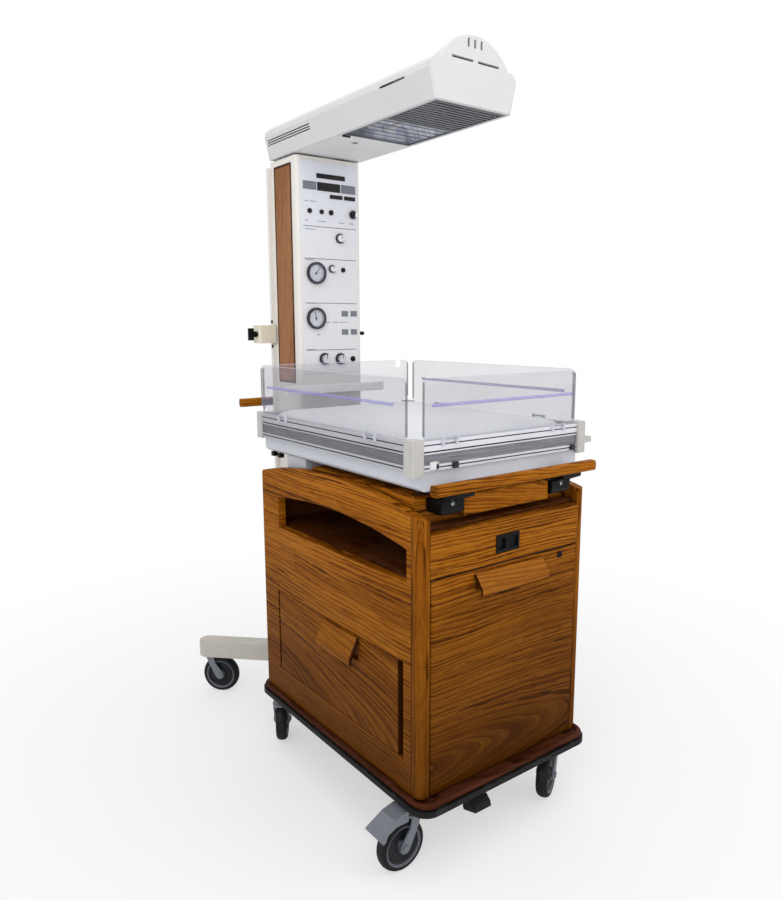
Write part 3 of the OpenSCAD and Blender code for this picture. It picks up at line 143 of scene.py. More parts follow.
class Finish:
    """A material under construction. Its values may be numbers, colours or other nodes' sockets."""

    def __init__(self, name, **shader):
        self.mat = bpy.data.materials.new(name)
        self.mat.use_nodes = True
        self.tree = self.mat.node_tree
        self.tree.nodes.clear()
        self.shader = self.node("ShaderNodeBsdfPrincipled")
        self.tree.links.new(self.shader.outputs[0], self.node("ShaderNodeOutputMaterial").inputs[0])
        self.set(**shader)

    def node(self, kind, **settings):
        made = self.tree.nodes.new(kind)
        for key, value in settings.items():
            setattr(made, key, value)
        return made

    def put(self, socket, value):
        if isinstance(value, bpy.types.NodeSocket):
            self.tree.links.new(value, socket)
        elif socket.type == "RGBA" and len(value) == 3:
            socket.default_value = (*value, 1)
        else:
            socket.default_value = value

    def set(self, **sockets):
        """Sets the shader's sockets; an underscore stands for a space in their names."""
        for key, value in sockets.items():
            self.put(self.shader.inputs[key.replace("_", " ")], value)
        return self

    def place(self, scale=(1, 1, 1), centre=(0, 0, 0), turn=(0, 0, 0), source=None):
        """Coordinates of the object, centred, turned and then stretched."""
        v = source or self.node("ShaderNodeTexCoord").outputs["Object"]
        if any(centre) or any(turn):
            m = self.node("ShaderNodeMapping", vector_type="TEXTURE")
            self.put(m.inputs["Vector"], v)
            m.inputs["Location"].default_value = centre
            m.inputs["Rotation"].default_value = turn
            v = m.outputs[0]
        if tuple(scale) != (1, 1, 1):
            m = self.node("ShaderNodeMapping")
            self.put(m.inputs["Vector"], v)
            m.inputs["Scale"].default_value = scale
            v = m.outputs[0]
        return v

    def axes(self, source=None):
        """The coordinates' three parts."""
        s = self.node("ShaderNodeSeparateXYZ")
        self.put(s.inputs[0], source or self.place())
        return s.outputs

    def join(self, *parts):
        c = self.node("ShaderNodeCombineXYZ")
        for socket, value in zip(c.inputs, parts):
            self.put(socket, value)
        return c.outputs[0]

    def math(self, operation, a, b=0.0, c=0.0, clamp=False):
        m = self.node("ShaderNodeMath", operation=operation, use_clamp=clamp)
        for socket, value in zip(m.inputs, (a, b, c)):
            self.put(socket, value)
        return m.outputs[0]

    def span(self, value, low, high, a=0.0, b=1.0, smooth=True):
        """Value carried from low..high to a..b, held at the ends."""
        m = self.node("ShaderNodeMapRange", interpolation_type="SMOOTHSTEP" if smooth else "LINEAR")
        for socket, v in zip(m.inputs, (value, low, high, a, b)):
            self.put(socket, v)
        return m.outputs[0]

    def noise(self, vector, scale=1.0, detail=2.0, rough=0.5):
        n = self.node("ShaderNodeTexNoise")
        self.put(n.inputs["Vector"], vector)
        for key, value in zip(("Scale", "Detail", "Roughness"), (scale, detail, rough)):
            n.inputs[key].default_value = value
        return n.outputs[0]

    def mix(self, factor, a, b):
        """Colour between a and b."""
        m = self.node("ShaderNodeMix", data_type="RGBA", blend_type="MIX")
        for socket, value in zip((m.inputs[0], m.inputs[6], m.inputs[7]), (factor, a, b)):
            self.put(socket, value)
        return m.outputs[2]

    def blend(self, factor, a, b):
        """Number between a and b."""
        m = self.node("ShaderNodeMix", data_type="FLOAT")
        for socket, value in zip((m.inputs[0], m.inputs[2], m.inputs[3]), (factor, a, b)):
            self.put(socket, value)
        return m.outputs[0]

    def worn_edge(self, radius):
        """Normal of the surface as if its edges were rounded off by a radius."""
        n = self.node("ShaderNodeBevel", samples=4)
        n.inputs["Radius"].default_value = radius
        return n.outputs[0]

    def crease(self, reach):
        """1 in the open and less in joints and corners within reach."""
        n = self.node("ShaderNodeAmbientOcclusion", samples=6)
        n.inputs["Distance"].default_value = reach
        return n.outputs["AO"]

    def bump(self, height, distance, strength=1.0, under=None):
        b = self.node("ShaderNodeBump")
        b.inputs["Strength"].default_value = strength
        b.inputs["Distance"].default_value = distance
        self.put(b.inputs["Height"], height)
        if under:
            self.put(b.inputs["Normal"], under)
        return b.outputs[0]


def mixed(a, b, t):
    """Colour between two colours."""
    return tuple(x + (y - x) * t for x, y in zip(a, b))


def dress(material, *names):
    """Gives a material to CAD nodes, or to new pieces, in all their slots."""
    for name in names:
        o = NODES[name] if isinstance(name, str) else name
        if not o.data.materials:
            o.data.materials.append(material)
        for i in range(len(o.data.materials)):
            o.data.materials[i] = material


def oak(name, along, light, middle, dark, ring, heart=0.0, deep=0.07, slope=0.16, posts=None, fade=0.0,
        seed=0.0, contrast=1.0, marks=()):
    """Varnished plain-sawn oak. A growth ring is a cone round the heart of the log. On a board's face, u
    along and v across, it shows where the square root of (v - heart)^2 + (deep + slope u)^2 is a whole number
    of rings: near-straight lines at the sides and nested arches over the heart. Each ring opens with a dark
    band of short pores and pales behind it. Slow noise bends the rings, spaces them unevenly and lets some
    fade away. Posts, if given, is the y before which the grain stands up. Fade darkens the board towards the
    floor: painted shade where less light reaches the lower board, partly a darker tone of the wood there.
    Painted shade also darkens joints and corners. Marks are further steps that each take the finish and its
    tone and return a new tone."""
    f = Finish(name, Specular_IOR_Level=0.025, Coat_Weight=0.01, Coat_Roughness=0.12)
    x, y, z = f.axes()
    parts = {"X": (x, z, y), "Y": (y, z, x), "Z": (z, y, x)}[along]
    v = f.math("SUBTRACT", parts[1], heart)
    depth = f.math("MULTIPLY_ADD", parts[0], slope, deep)
    if posts is not None:
        upright = f.math("LESS_THAN", y, posts)
        parts = [f.blend(upright, a, b) for a, b in zip(parts, (z, y, x))]
        v = f.blend(upright, v, f.math("MULTIPLY_ADD", y, 0.8, x))
        depth = f.blend(upright, depth, 0.2)
    u, w = f.math("ADD", parts[0], seed), parts[2]
    grain = f.join(u, parts[1], w)
    sway = f.math("MULTIPLY_ADD", f.noise(f.place((1.3, 4, 4), source=grain), 1, 3, 0.5), 0.07, -0.035)
    across = f.math("ADD", v, sway)
    radius = f.math("SQRT", f.math("MULTIPLY_ADD", across, across, f.math("MULTIPLY", depth, depth)))
    log = f.join(u, radius, w)
    uneven = f.noise(f.place((1.1, 55, 2), source=log), 1, 3, 0.6)
    fuzz = f.noise(f.place((24, 160, 20), source=log), 1, 2)
    turns = f.math("ADD", f.math("DIVIDE", radius, ring), f.math("MULTIPLY", uneven, 3.2))
    ringed = f.math("FRACT", f.math("MULTIPLY_ADD", fuzz, 0.5, turns))
    strong = f.span(f.noise(f.place((2.2, 30, 6), source=log), 1, 4, 0.65), 0.4, 0.58, 0.12, 1)
    band = f.math("MULTIPLY", f.math("MAXIMUM", f.span(ringed, 0.4, 0.0), f.span(ringed, 0.9, 1)), strong)
    pale = mixed(middle, light, 0.5 * contrast)
    tone = f.mix(f.span(ringed, 0.25, 0.7, 0, 0.9), middle, pale)
    patch = f.noise(f.place((1.4, 12, 9), source=log), 1, 4, 0.6)
    tone = f.mix(f.span(patch, 0.44, 0.7, 0, 0.6), tone, mixed(middle, dark, 0.35))
    tone = f.mix(f.span(patch, 0.46, 0.26, 0, 0.5 * contrast), tone, mixed(middle, light, 0.8))
    streak = f.noise(f.place((9, 300, 40), source=log), 1, 3, 0.62)
    tone = f.mix(f.span(streak, 0.46, 0.3, 0, 0.45 * contrast), tone, light)
    dash = f.span(streak, 0.4, 0.6, 0.12, 1)
    tone = f.mix(f.math("MULTIPLY", f.math("MULTIPLY", band, dash), 1.05 * contrast, clamp=True), tone,
                 mixed(middle, dark, 0.92))
    hair = f.noise(f.place((26, 620, 90), source=log), 1, 2, 0.6)
    pore = f.math("MULTIPLY", f.span(hair, 0.5, 0.62), f.math("MULTIPLY_ADD", band, 0.6, 0.4))
    tone = f.mix(f.math("MULTIPLY", pore, 0.6), tone, dark)
    if posts is not None:
        joint = f.math("LESS_THAN", f.math("ABSOLUTE", f.math("SUBTRACT", y, posts)), 0.0012)
        tone = f.mix(f.math("MULTIPLY", upright, 0.25), tone, mixed(middle, dark, 0.4))
        tone = f.mix(f.math("MULTIPLY", joint, 0.85), tone, dark)
    for mark in marks:
        tone = mark(f, tone)
    # Painted shade: the board darkens towards the floor, where less light reaches it, partly a darker tone of
    # the lower wood
    if fade:
        tone = f.mix(f.span(z, 0.8, 0.13, 0, fade, smooth=False), tone, mixed(dark, middle, 0.1))
    # Painted shade: darker in joints and corners within reach of the occlusion
    tone = f.mix(f.span(f.crease(0.016), 0.75, 0.2, 0, 0.8), tone, mixed(dark, (0, 0, 0), 0.5))
    hills = f.math("SUBTRACT", f.math("MULTIPLY", ringed, 0.2), pore)
    return f.set(Base_Color=tone, Roughness=f.span(patch, 0.3, 0.7, 0.3, 0.44),
                 Normal=f.bump(hills, 0.0002, 0.5, f.worn_edge(0.0016))).mat


def end_grain_and_shade(run, middle, half, proud=None, amount=0.8):
    """Mark for oak: dark beyond half on both sides of the middle of an axis, where proud, if given as an axis
    and a level, is passed outwards. The dark is end grain, with painted shade where it marks the pulls' ends
    and the side door's end edges."""
    def mark(f, tone):
        at = dict(zip("xyz", f.axes()))
        mask = f.math("GREATER_THAN", f.math("ABSOLUTE", f.math("SUBTRACT", at[run], middle)), half)
        if proud:
            mask = f.math("MULTIPLY", mask, f.math("LESS_THAN", at[proud[0]], proud[1]))
        # End grain, with painted shade where the mark lies on a shaded end or gap
        return f.mix(f.math("MULTIPLY", mask, amount), tone, shade(34, 14, 6))
    return mark


def lit_pull(axis, level, amount):
    """Mark for oak: paler where an axis is passed outwards, a painted highlight on a pull's face that stands
    out and catches the light.
    """
    def mark(f, tone):
        at = dict(zip("xyz", f.axes()))
        mask = f.math("LESS_THAN", at[axis], level)
        # Painted highlight on the part of the pull that stands out
        return f.mix(f.math("MULTIPLY", mask, amount), tone, shade(196, 124, 48))
    return mark


def painted_shadow_border(low, high, width):
    """Mark for oak: a dark border of painted shadow round a flat strip that stands up, seen along X."""
    def mark(f, tone):
        x, y, z = f.axes()
        edge = [f.math("LESS_THAN", f.math("ABSOLUTE", f.math("SUBTRACT", value, at)), width)
                for value, at in ((y, low.y), (y, high.y), (z, low.z), (z, high.z))]
        rim = f.math("MAXIMUM", f.math("MAXIMUM", edge[0], edge[1]), f.math("MAXIMUM", edge[2], edge[3]))
        # Painted shadow round the strip's edges
        return f.mix(f.math("MULTIPLY", rim, 0.85), tone, shade(46, 22, 12))
    return mark


def enamel(name, tone, soil=0.1, rough=0.34, soil_and_shade_tone=(0.3, 0.28, 0.26), low=None, speck=0.06):
    """Powder coat: fine orange peel, faint clouds of soil, rounded edges, scuffs below a height, and painted
    shade in joints and corners.
    """
    f = Finish(name, Specular_IOR_Level=0.35)
    at = f.place()
    clouds = f.noise(at, 5, 4, 0.6)
    base = f.mix(f.span(clouds, 0.45, 0.8, 0, soil), tone, soil_and_shade_tone)
    if low:
        z = f.axes(at)[2]
        scuff = f.math("MULTIPLY", f.span(z, low, low - 0.06, 0, 0.5), f.noise(at, 30, 3))
        base = f.mix(scuff, base, soil_and_shade_tone)
    base = f.mix(f.span(f.noise(at, 320, 2), 0.62, 0.8, 0, speck), base, (0.1, 0.1, 0.1))
    # Painted shade: darker in joints and corners that the occlusion finds, in the soil colour
    base = f.mix(f.span(f.crease(0.02), 0.6, 0.1, 0, 0.3), base, soil_and_shade_tone)
    return f.set(Base_Color=base, Roughness=f.span(clouds, 0.3, 0.7, rough - 0.05, rough + 0.08),
                 Normal=f.bump(f.noise(at, 900, 2), 0.0001, 0.5, f.worn_edge(0.0025))).mat


def moulded(name, tone, rough=0.42, grain=1400, wear=0.15, worn=(0.2, 0.2, 0.21), edge=0.0008, shine=0.22):
    """Moulded plastic or rubber: fine spark-eroded grain and rubbed, slightly paler patches."""
    f = Finish(name, Specular_IOR_Level=shine)
    at = f.place()
    rub = f.noise(at, 24, 3, 0.6)
    base = f.mix(f.span(rub, 0.5, 0.85, 0, wear), tone, worn)
    return f.set(Base_Color=base, Roughness=f.span(rub, 0.3, 0.7, rough - 0.06, rough + 0.1),
                 Normal=f.bump(f.noise(at, grain, 2), 0.0001, 0.5, f.worn_edge(edge))).mat


def metal(name, tone, rough=0.3, stretch=(300, 300, 12), metallic=0.85, soil=0.15):
    """Plated or brushed metal: short brush lines, and dull patches."""
    f = Finish(name, Metallic=metallic)
    at = f.place()
    lines = f.noise(f.place(stretch), 1, 3)
    dull = f.noise(at, 16, 3)
    base = f.mix(f.span(dull, 0.45, 0.8, 0, soil), tone, mixed(tone, (0.05, 0.05, 0.05), 0.6))
    return f.set(Base_Color=base, Roughness=f.span(lines, 0.3, 0.7, rough - 0.07, rough + 0.1),
                 Normal=f.bump(lines, 0.00008, 0.4)).mat


# Shapes


def mesh_piece(name, verts, faces, body, slot, material, smooth=True):
    """A new piece from arrays, or lists where its faces differ in length, riding on a body."""
    mesh = bpy.data.meshes.new(name)
    mesh.from_pydata(np.asarray(verts).tolist(), [], faces if isinstance(faces, list) else faces.tolist())
    mesh.validate()
    if smooth:
        mesh.shade_smooth()
    else:
        mesh.shade_flat()
    o = bpy.data.objects.new(name, mesh)
    bpy.context.scene.collection.objects.link(o)
    mesh.materials.append(material)
    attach(o, body)
    return o


def grid_faces(rows, columns, wrap=False, offset=0):
    """Quads of a grid of rows by columns, row after row; wrap closes each row."""
    i, j = np.meshgrid(np.arange(rows - 1), np.arange(columns if wrap else columns - 1), indexing="ij")
    k = (j + 1) % columns
    return (np.stack([i * columns + j, i * columns + k, (i + 1) * columns + k, (i + 1) * columns + j], -1)
            .reshape(-1, 4) + offset)


def turned(profile, centre, axis, sides=32):
    """Solid of revolution: radius r and height h of a profile swept round an axis; ends at r = 0 close it."""
    p = np.asarray(profile, float)
    a = np.arange(sides) * 2 * np.pi / sides
    n = Vector(axis).normalized()
    u = n.orthogonal().normalized()
    v = n.cross(u)
    n, u, v = (np.array(t) for t in (n, u, v))
    ring = np.cos(a)[:, None] * u + np.sin(a)[:, None] * v
    verts = (p[:, 0, None, None] * ring[None] + p[:, 1, None, None] * n + np.array(centre)).reshape(-1, 3)
    return verts, grid_faces(len(p), sides, True)


def blocks(lows, highs):
    """Many boxes at once, from arrays of their low and high corners."""
    a, b = np.asarray(lows, float), np.asarray(highs, float)
    pick = np.array([[i & 1, i >> 1 & 1, i >> 2 & 1] for i in range(8)])
    verts = (a[:, None] + (b - a)[:, None] * pick[None]).reshape(-1, 3)
    quads = np.array([[0, 2, 3, 1], [4, 5, 7, 6], [0, 1, 5, 4], [2, 6, 7, 3], [0, 4, 6, 2], [1, 3, 7, 5]])
    return verts, (np.arange(len(a))[:, None, None] * 8 + quads).reshape(-1, 4)


def gathered(parts):
    """Several shapes in one set of vertices and faces."""
    verts, faces, count = [], [], 0
    for v, f in parts:
        verts.append(v)
        faces.append(np.asarray(f) + count)
        count += len(v)
    return np.concatenate(verts), np.concatenate(faces)


def screws(name, places, normal, body, radius, material="screw"):
    """Domed screw heads: the height at a distance d from the middle of a head of radius r is 0.42 r times the
    square root of 1 - 0.98 (d / r)^2. Two dark bars let into the top are painted shade of a cross-shaped
    recess."""
    d = np.linspace(0, 1, 7)
    profile = np.column_stack([radius * d, 0.42 * radius * np.sqrt(1 - d ** 2 * 0.98)])[::-1]
    heads = gathered([turned(profile, p, normal, 20) for p in places])
    mesh_piece(name, *heads, body, "zinc", SHARED[material])
    n = np.array(normal, float)
    u = np.array(Vector(normal).orthogonal().normalized())
    v = np.cross(n, u)
    lows, highs = [], []
    for p in places:
        for s, t in ((u, v), (v, u)):
            a = np.array(p) - s * radius * 0.6 - t * radius * 0.1 + n * radius * 0.3
            b = np.array(p) + s * radius * 0.6 + t * radius * 0.1 + n * radius * 0.44
            lows.append(np.minimum(a, b))
            highs.append(np.maximum(a, b))
    # Painted shade: the dark bars stand for the shade in the cross recess
    mesh_piece(name + "_slots", *blocks(lows, highs), body, "black_plastic", SHARED["dark"], smooth=False)


# Finishes that more than one operator uses, filled by the first of them
SHARED = {}


def settings():
    """The settings of wood, colours and sizes."""
    return bpy.context.scene.warmer_wood, bpy.context.scene.warmer_colours, bpy.context.scene.warmer_sizes


class Maker:
    """Shared parts of the operators: no undo step, and a plain result."""

    bl_options = {"REGISTER"}

    def execute(self, context):
        self.make(*settings())
        return {"FINISHED"}


class WARMER_OT_stock(Maker, bpy.types.Operator):
    """Finishes that several pieces share: screw metal, dark recesses, two inks and black moulding"""

    bl_idname = "warmer.stock"
    bl_label = "Shared finishes"

    def make(self, wood, tint, size):
        SHARED["screw"] = metal("screw_steel", shade(190, 190, 192), 0.28)
        # Near-black that stands for the shade in hollows, such as the screws' cross recesses and the guard's
        # corner
        SHARED["dark"] = moulded("dark_recess", shade(14, 13, 13), 0.6, wear=0.05)
        SHARED["ink"] = moulded("printed_ink", shade(88, 92, 104), 0.5, wear=0.1)
        SHARED["faint"] = moulded("faint_ink", shade(150, 153, 166), 0.5, wear=0.5, worn=shade(200, 202, 210))
        SHARED["black"] = moulded("black_moulding", tuple(tint.black), 0.36, wear=0.04, shine=0.1)


class WARMER_OT_wood(Maker, bpy.types.Operator):
    """Varnished oak of the cabinet, boards, doors, bars and column trims"""

    bl_idname = "warmer.wood"
    bl_label = "Wood"

    def make(self, wood, tint, size):
        tones = [tuple(c) for c in (wood.light, wood.middle, wood.dark)]
        deep = [mixed(t, (0, 0, 0), 0.1) for t in tones]
        panel, side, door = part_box("front_panel"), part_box("side_door"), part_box("front_door")
        face_y, face_x = panel[0].y - 0.0012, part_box("side_panels")[0].x - 0.0012
        pull = (side[0].y + side[1].y) / 2
        inside_edge = 0.0006
        dress(oak("oak_side", "Y", *tones, wood.ring, heart=0.95, deep=0.05, slope=0.1,
                  posts=panel[0].y + 0.03, fade=0.85, seed=3.1), "side_panels")
        # Painted highlight: the side door's pull is paler where it stands out
        side_marks = (lit_pull("x", face_x - 0.004, 0.3),
                      # End grain with painted shade on the ends of the side door's pull
                      end_grain_and_shade("y", pull - 0.042, wood.side_pull / 2 - inside_edge, ("x", face_x),
                                amount=0.95),
                      # Painted shadow in the gaps at the side door's front and rear edges, with their end
                      # grain
                      end_grain_and_shade("y", pull, (side[1].y - side[0].y) / 2 - 0.001, amount=0.85))
        dress(oak("oak_side_door", "Y", *deep, wood.ring, heart=0.24, deep=0.07, slope=-0.2, fade=0.85,
                  seed=8.6, marks=side_marks), "side_door")
        dress(oak("oak_front_panel", "X", *deep, wood.ring * 0.8, heart=0.4, deep=0.1, slope=0.05, seed=1.7),
              "front_panel")
        # Painted highlight: the front door's pull is paler where it stands out
        front_marks = (lit_pull("y", face_y - 0.004, 0.3),
                       # End grain with painted shade on the ends of the front door's pull
                       end_grain_and_shade("x", 0.0, wood.front_pull / 2 - inside_edge, ("y", face_y), amount=0.95))
        dress(oak("oak_front_door", "X", *deep, wood.ring, heart=0.27, deep=0.05, slope=0.13, fade=1.0,
                  seed=5.2, marks=front_marks), "front_door")
        dress(oak("oak_riser", "X", *tones, wood.ring * 0.7, heart=0.6, deep=0.2, seed=6.3), "riser",
              "pullout_board")
        ring = np.array([[0.0078, 0], [0.0074, 0.0014], [0.0062, 0.0024], [0.0034, 0.0022], [0.0028, 0.001],
                         [0, 0.001]])
        lock = (door[1].x - 0.06, panel[0].y - 0.002, door[1].z - 0.016)
        mesh_piece("door_keyhole", *turned(ring, lock, (0, -1, 0), 32), "front_door", "black_metal",
                   SHARED["black"])
        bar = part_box("push_bars")
        dress(oak("oak_bars", "X", *tones, wood.ring * 0.5, heart=0.5, seed=4.4,
                  marks=(end_grain_and_shade("x", 0.0, bar[1].x - 0.003, amount=0.35),)), "push_bars")
        # Red-brown stain of the base board, set darker partly as painted shade near the floor
        base = tuple(wood.base)
        dress(oak("oak_base", "X", mixed(base, (0.5, 0.2, 0.1), 0.15), base, mixed(base, (0, 0, 0), 0.7),
                  wood.ring, seed=2.4, contrast=0.7), "base_board")
        # Painted shade: darker tone of the boards inside the cabinet, for the shade they lie in
        inside = tuple(wood.inside)
        dress(oak("oak_inside_shaded", "Y", mixed(inside, (1, 0.8, 0.6), 0.06), inside,
                  mixed(inside, (0, 0, 0), 0.7), 0.012, contrast=0.7), "inner_boards")
        trim = tuple(wood.trim)
        dress(oak("oak_trim", "Z", mixed(trim, (0.9, 0.6, 0.4), 0.3), trim, mixed(trim, (0.02, 0.01, 0), 0.7),
                  0.007, heart=-0.5, contrast=0.7, marks=(painted_shadow_border(*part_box("wood_trims"), 0.0065),)),
              "wood_trims")


class WARMER_OT_enamel(Maker, bpy.types.Operator):
    """Coats of the column, hood, bed tray, accessory rail and chassis, and the metal of plates and pins"""

    bl_idname = "warmer.enamel"
    bl_label = "Enamel"

    def make(self, wood, tint, size):
        dress(enamel("white_enamel", tuple(tint.enamel)), "column_shell")
        # Painted light: the accessory rail takes a whiter coat than the column's enamel, to offset the shade
        # it lies in behind the clear sheets
        dress(moulded("rail_coat_lit", shade(254, 254, 255), 0.35, wear=0.1, worn=shade(214, 215, 220)),
              "accessory_rail")
        dress(enamel("hood_enamel", tuple(tint.hood), rough=0.4), "hood_shell")
        # Painted light: the pan under the hood takes a paler copy of the hood's coat, to brighten an
        # underside the lamps light less
        dress(enamel("pan_enamel_lit", mixed(tuple(tint.hood), (1, 1, 1), 0.28), rough=0.4), "hood_pan")
        dress(enamel("tray_enamel", tuple(tint.tray), 0.16), "bed_tray")
        dress(enamel("chassis_enamel", tuple(tint.chassis), 0.2, 0.4, low=0.15, speck=0.3), "chassis")
        dress(metal("pivot_steel", shade(176, 177, 180)), "hood_pivot", "castor_plates")
        dress(metal("bronze_pin", shade(82, 66, 48)), "hinge_pins")


class WARMER_OT_panel(Maker, bpy.types.Operator):
    """Control panel: printed ground, windows, keys, lamps, knobs with their scales, and plain bars"""

    bl_idname = "warmer.panel"
    bl_label = "Control panel"

    def make(self, wood, tint, size):
        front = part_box("column_shell")[0].y - PRINT_DEPTH
        f = Finish("panel_print", Roughness=0.4, Specular_IOR_Level=0.3)
        x, y, z = f.axes()
        at = f.place()
        ground = f.mix(f.span(f.noise(at, 7, 3), 0.4, 0.8, 0, 0.12), tuple(tint.panel), shade(186, 188, 196))
        ground = f.mix(f.span(z, 1.35, 1.66, 0, 0.4), ground, shade(222, 226, 244))
        ground = f.mix(f.span(f.noise(at, 420, 2), 0.58, 0.7, 0, 0.16), ground, shade(120, 124, 140))
        proud = f.math("LESS_THAN", y, front - 0.0003)
        ground = f.mix(proud, ground, shade(104, 106, 120))
        deep = f.math("LESS_THAN", y, front - 0.001)
        ground = f.mix(deep, ground, shade(28, 27, 44))
        f.set(Base_Color=ground, Normal=f.bump(f.noise(at, 1100, 2), 0.0001, 0.4))
        dress(f.mat, "control_panel")
        g = Finish("panel_inserts", Specular_IOR_Level=0.2)
        x, y, z = g.axes()
        band = g.math("MULTIPLY", g.math("GREATER_THAN", z, 1.612), g.math("LESS_THAN", z, 1.638))
        beside = g.math("MAXIMUM", g.math("LESS_THAN", x, -0.044), g.math("GREATER_THAN", x, 0.0385))
        low = g.math("MULTIPLY", g.math("LESS_THAN", z, 1.28), g.math("GREATER_THAN", z, 1.2))
        pads = g.math("MAXIMUM", g.math("MULTIPLY", band, beside), low, clamp=True)
        spots = g.noise(g.place((1, 1, 0.6)), 150, 2)
        specks = g.span(g.noise(g.place((1, 1, 2.2)), 420, 1), 0.54, 0.6)
        keys = g.mix(g.math("MULTIPLY", specks, 0.7), shade(128, 131, 138), shade(72, 76, 88))
        tone = g.mix(pads, g.mix(g.span(spots, 0.45, 0.75, 0, 0.7), shade(5, 5, 8), shade(30, 30, 40)), keys)
        g.set(Base_Color=tone, Roughness=g.blend(pads, 0.3, 0.45))
        dress(g.mat, "panel_inserts")
        ticks = []
        for name, cap, reach in (("temperature", "halves", 1.0), ("timer", "pale", 1.0),
                                 ("vacuum", "pale", 1.0), ("oxygen", "chrome", 0.8), ("air", "chrome", 0.8)):
            a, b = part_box(f"knob_{name}")
            dress(self.knob(name, cap, a, b), f"knob_{name}")
            radius = (b.z - a.z) / 2
            angle = np.radians(np.linspace(-SWEEP, SWEEP, 10))
            mid = np.array([(a.x + b.x) / 2, front - 0.0001, (a.z + b.z) / 2])
            ticks.append(radial_ticks(mid, angle, radius + 0.0015, radius + 0.0015 + 0.003 * reach, 0.0009))
        mesh_piece("knob_scales", *gathered(ticks), "frame", "panel_print", SHARED["ink"], smooth=False)
        # Plain printed bars: left end, height and length in metres
        bars = np.array([(-0.084, 1.5035, 0.034), (-0.084, 1.418, 0.026), (-0.084, 1.2955, 0.03),
                         (-0.084, 1.162, 0.026), (-0.02, 1.2405, 0.014), (0.002, 1.2405, 0.02),
                         (0.028, 1.2405, 0.03), (-0.052, 1.204, 0.012), (-0.084, 1.581, 0.012),
                         (-0.066, 1.581, 0.02), (-0.084, 1.5275, 0.012), (-0.044, 1.5275, 0.03),
                         (0.03, 1.5275, 0.02), (0.066, 1.5275, 0.018)])
        lows = np.column_stack([bars[:, 0], 0 * bars[:, 0] + front - 0.0004, bars[:, 1]])
        highs = lows + np.column_stack([bars[:, 2], 0 * bars[:, 0] + 0.0003, 0 * bars[:, 0] + 0.0022])
        mesh_piece("panel_bars", *blocks(lows, highs), "frame", "panel_print", SHARED["faint"], smooth=False)

    @staticmethod
    def knob(name, cap, low, high):
        """Dark skirt with a fluted side under a pale, chromed or two-toned cap with a black line."""
        f = Finish(f"knob_{name}", Specular_IOR_Level=0.4)
        x, y, z = f.axes(f.place(centre=((low.x + high.x) / 2, high.y, (low.z + high.z) / 2)))
        out = f.math("SQRT", f.math("ADD", f.math("MULTIPLY", x, x), f.math("MULTIPLY", z, z)))
        radius = (high.z - low.z) / 2
        top = f.math("MULTIPLY", f.math("LESS_THAN", y, -0.0042), f.math("LESS_THAN", out, radius * 0.76))
        rub = f.noise(f.place(), 90, 3)
        black = f.mix(f.span(rub, 0.5, 0.8, 0, 0.4), shade(30, 30, 36), shade(84, 85, 94))
        pale = {"pale": shade(226, 227, 232), "chrome": shade(196, 198, 206),
                "halves": shade(240, 240, 242)}[cap]
        pale = f.mix(f.span(rub, 0.4, 0.8, 0, 0.35), pale, mixed(pale, (0.1, 0.1, 0.13), 0.6))
        if cap == "halves":
            top = f.math("MULTIPLY", top, f.math("GREATER_THAN", x, 0))
        line = f.math("MULTIPLY", f.math("LESS_THAN", f.math("ABSOLUTE", x), 0.0011),
                      f.math("GREATER_THAN", z, 0))
        tone = f.mix(line, f.mix(top, black, pale), shade(10, 10, 12))
        flutes = f.math("SINE", f.math("MULTIPLY", f.math("ARCTAN2", x, z), 28))
        ribs = f.math("MULTIPLY", flutes, f.math("SUBTRACT", 1, top))
        return f.set(Base_Color=tone, Roughness=f.blend(top, 0.45, 0.3),
                     Metallic=0.5 if cap == "chrome" else 0.0, Normal=f.bump(ribs, 0.0006, 0.8)).mat


def radial_ticks(mid, angle, r0, r1, width, lift=0.00025):
    """Ticks of a scale on a face that looks towards -Y: a bar from r0 to r1 at each angle from upright."""
    s, c = np.sin(angle), np.cos(angle)
    out = np.column_stack([s, 0 * s, c])
    side = np.column_stack([c, 0 * s, -s]) * width / 2
    corners = [out * r0 - side, out * r0 + side, out * r1 + side, out * r1 - side]
    flat = np.stack(corners, 1) + mid
    verts = np.concatenate([flat, flat - [0, lift, 0]], 1).reshape(-1, 3)
    quads = np.array([[3, 2, 1, 0], [4, 5, 6, 7], [1, 5, 4, 0], [2, 6, 5, 1], [3, 7, 6, 2], [0, 4, 7, 3]])
    return verts, (np.arange(len(s))[:, None, None] * 8 + quads).reshape(-1, 4)


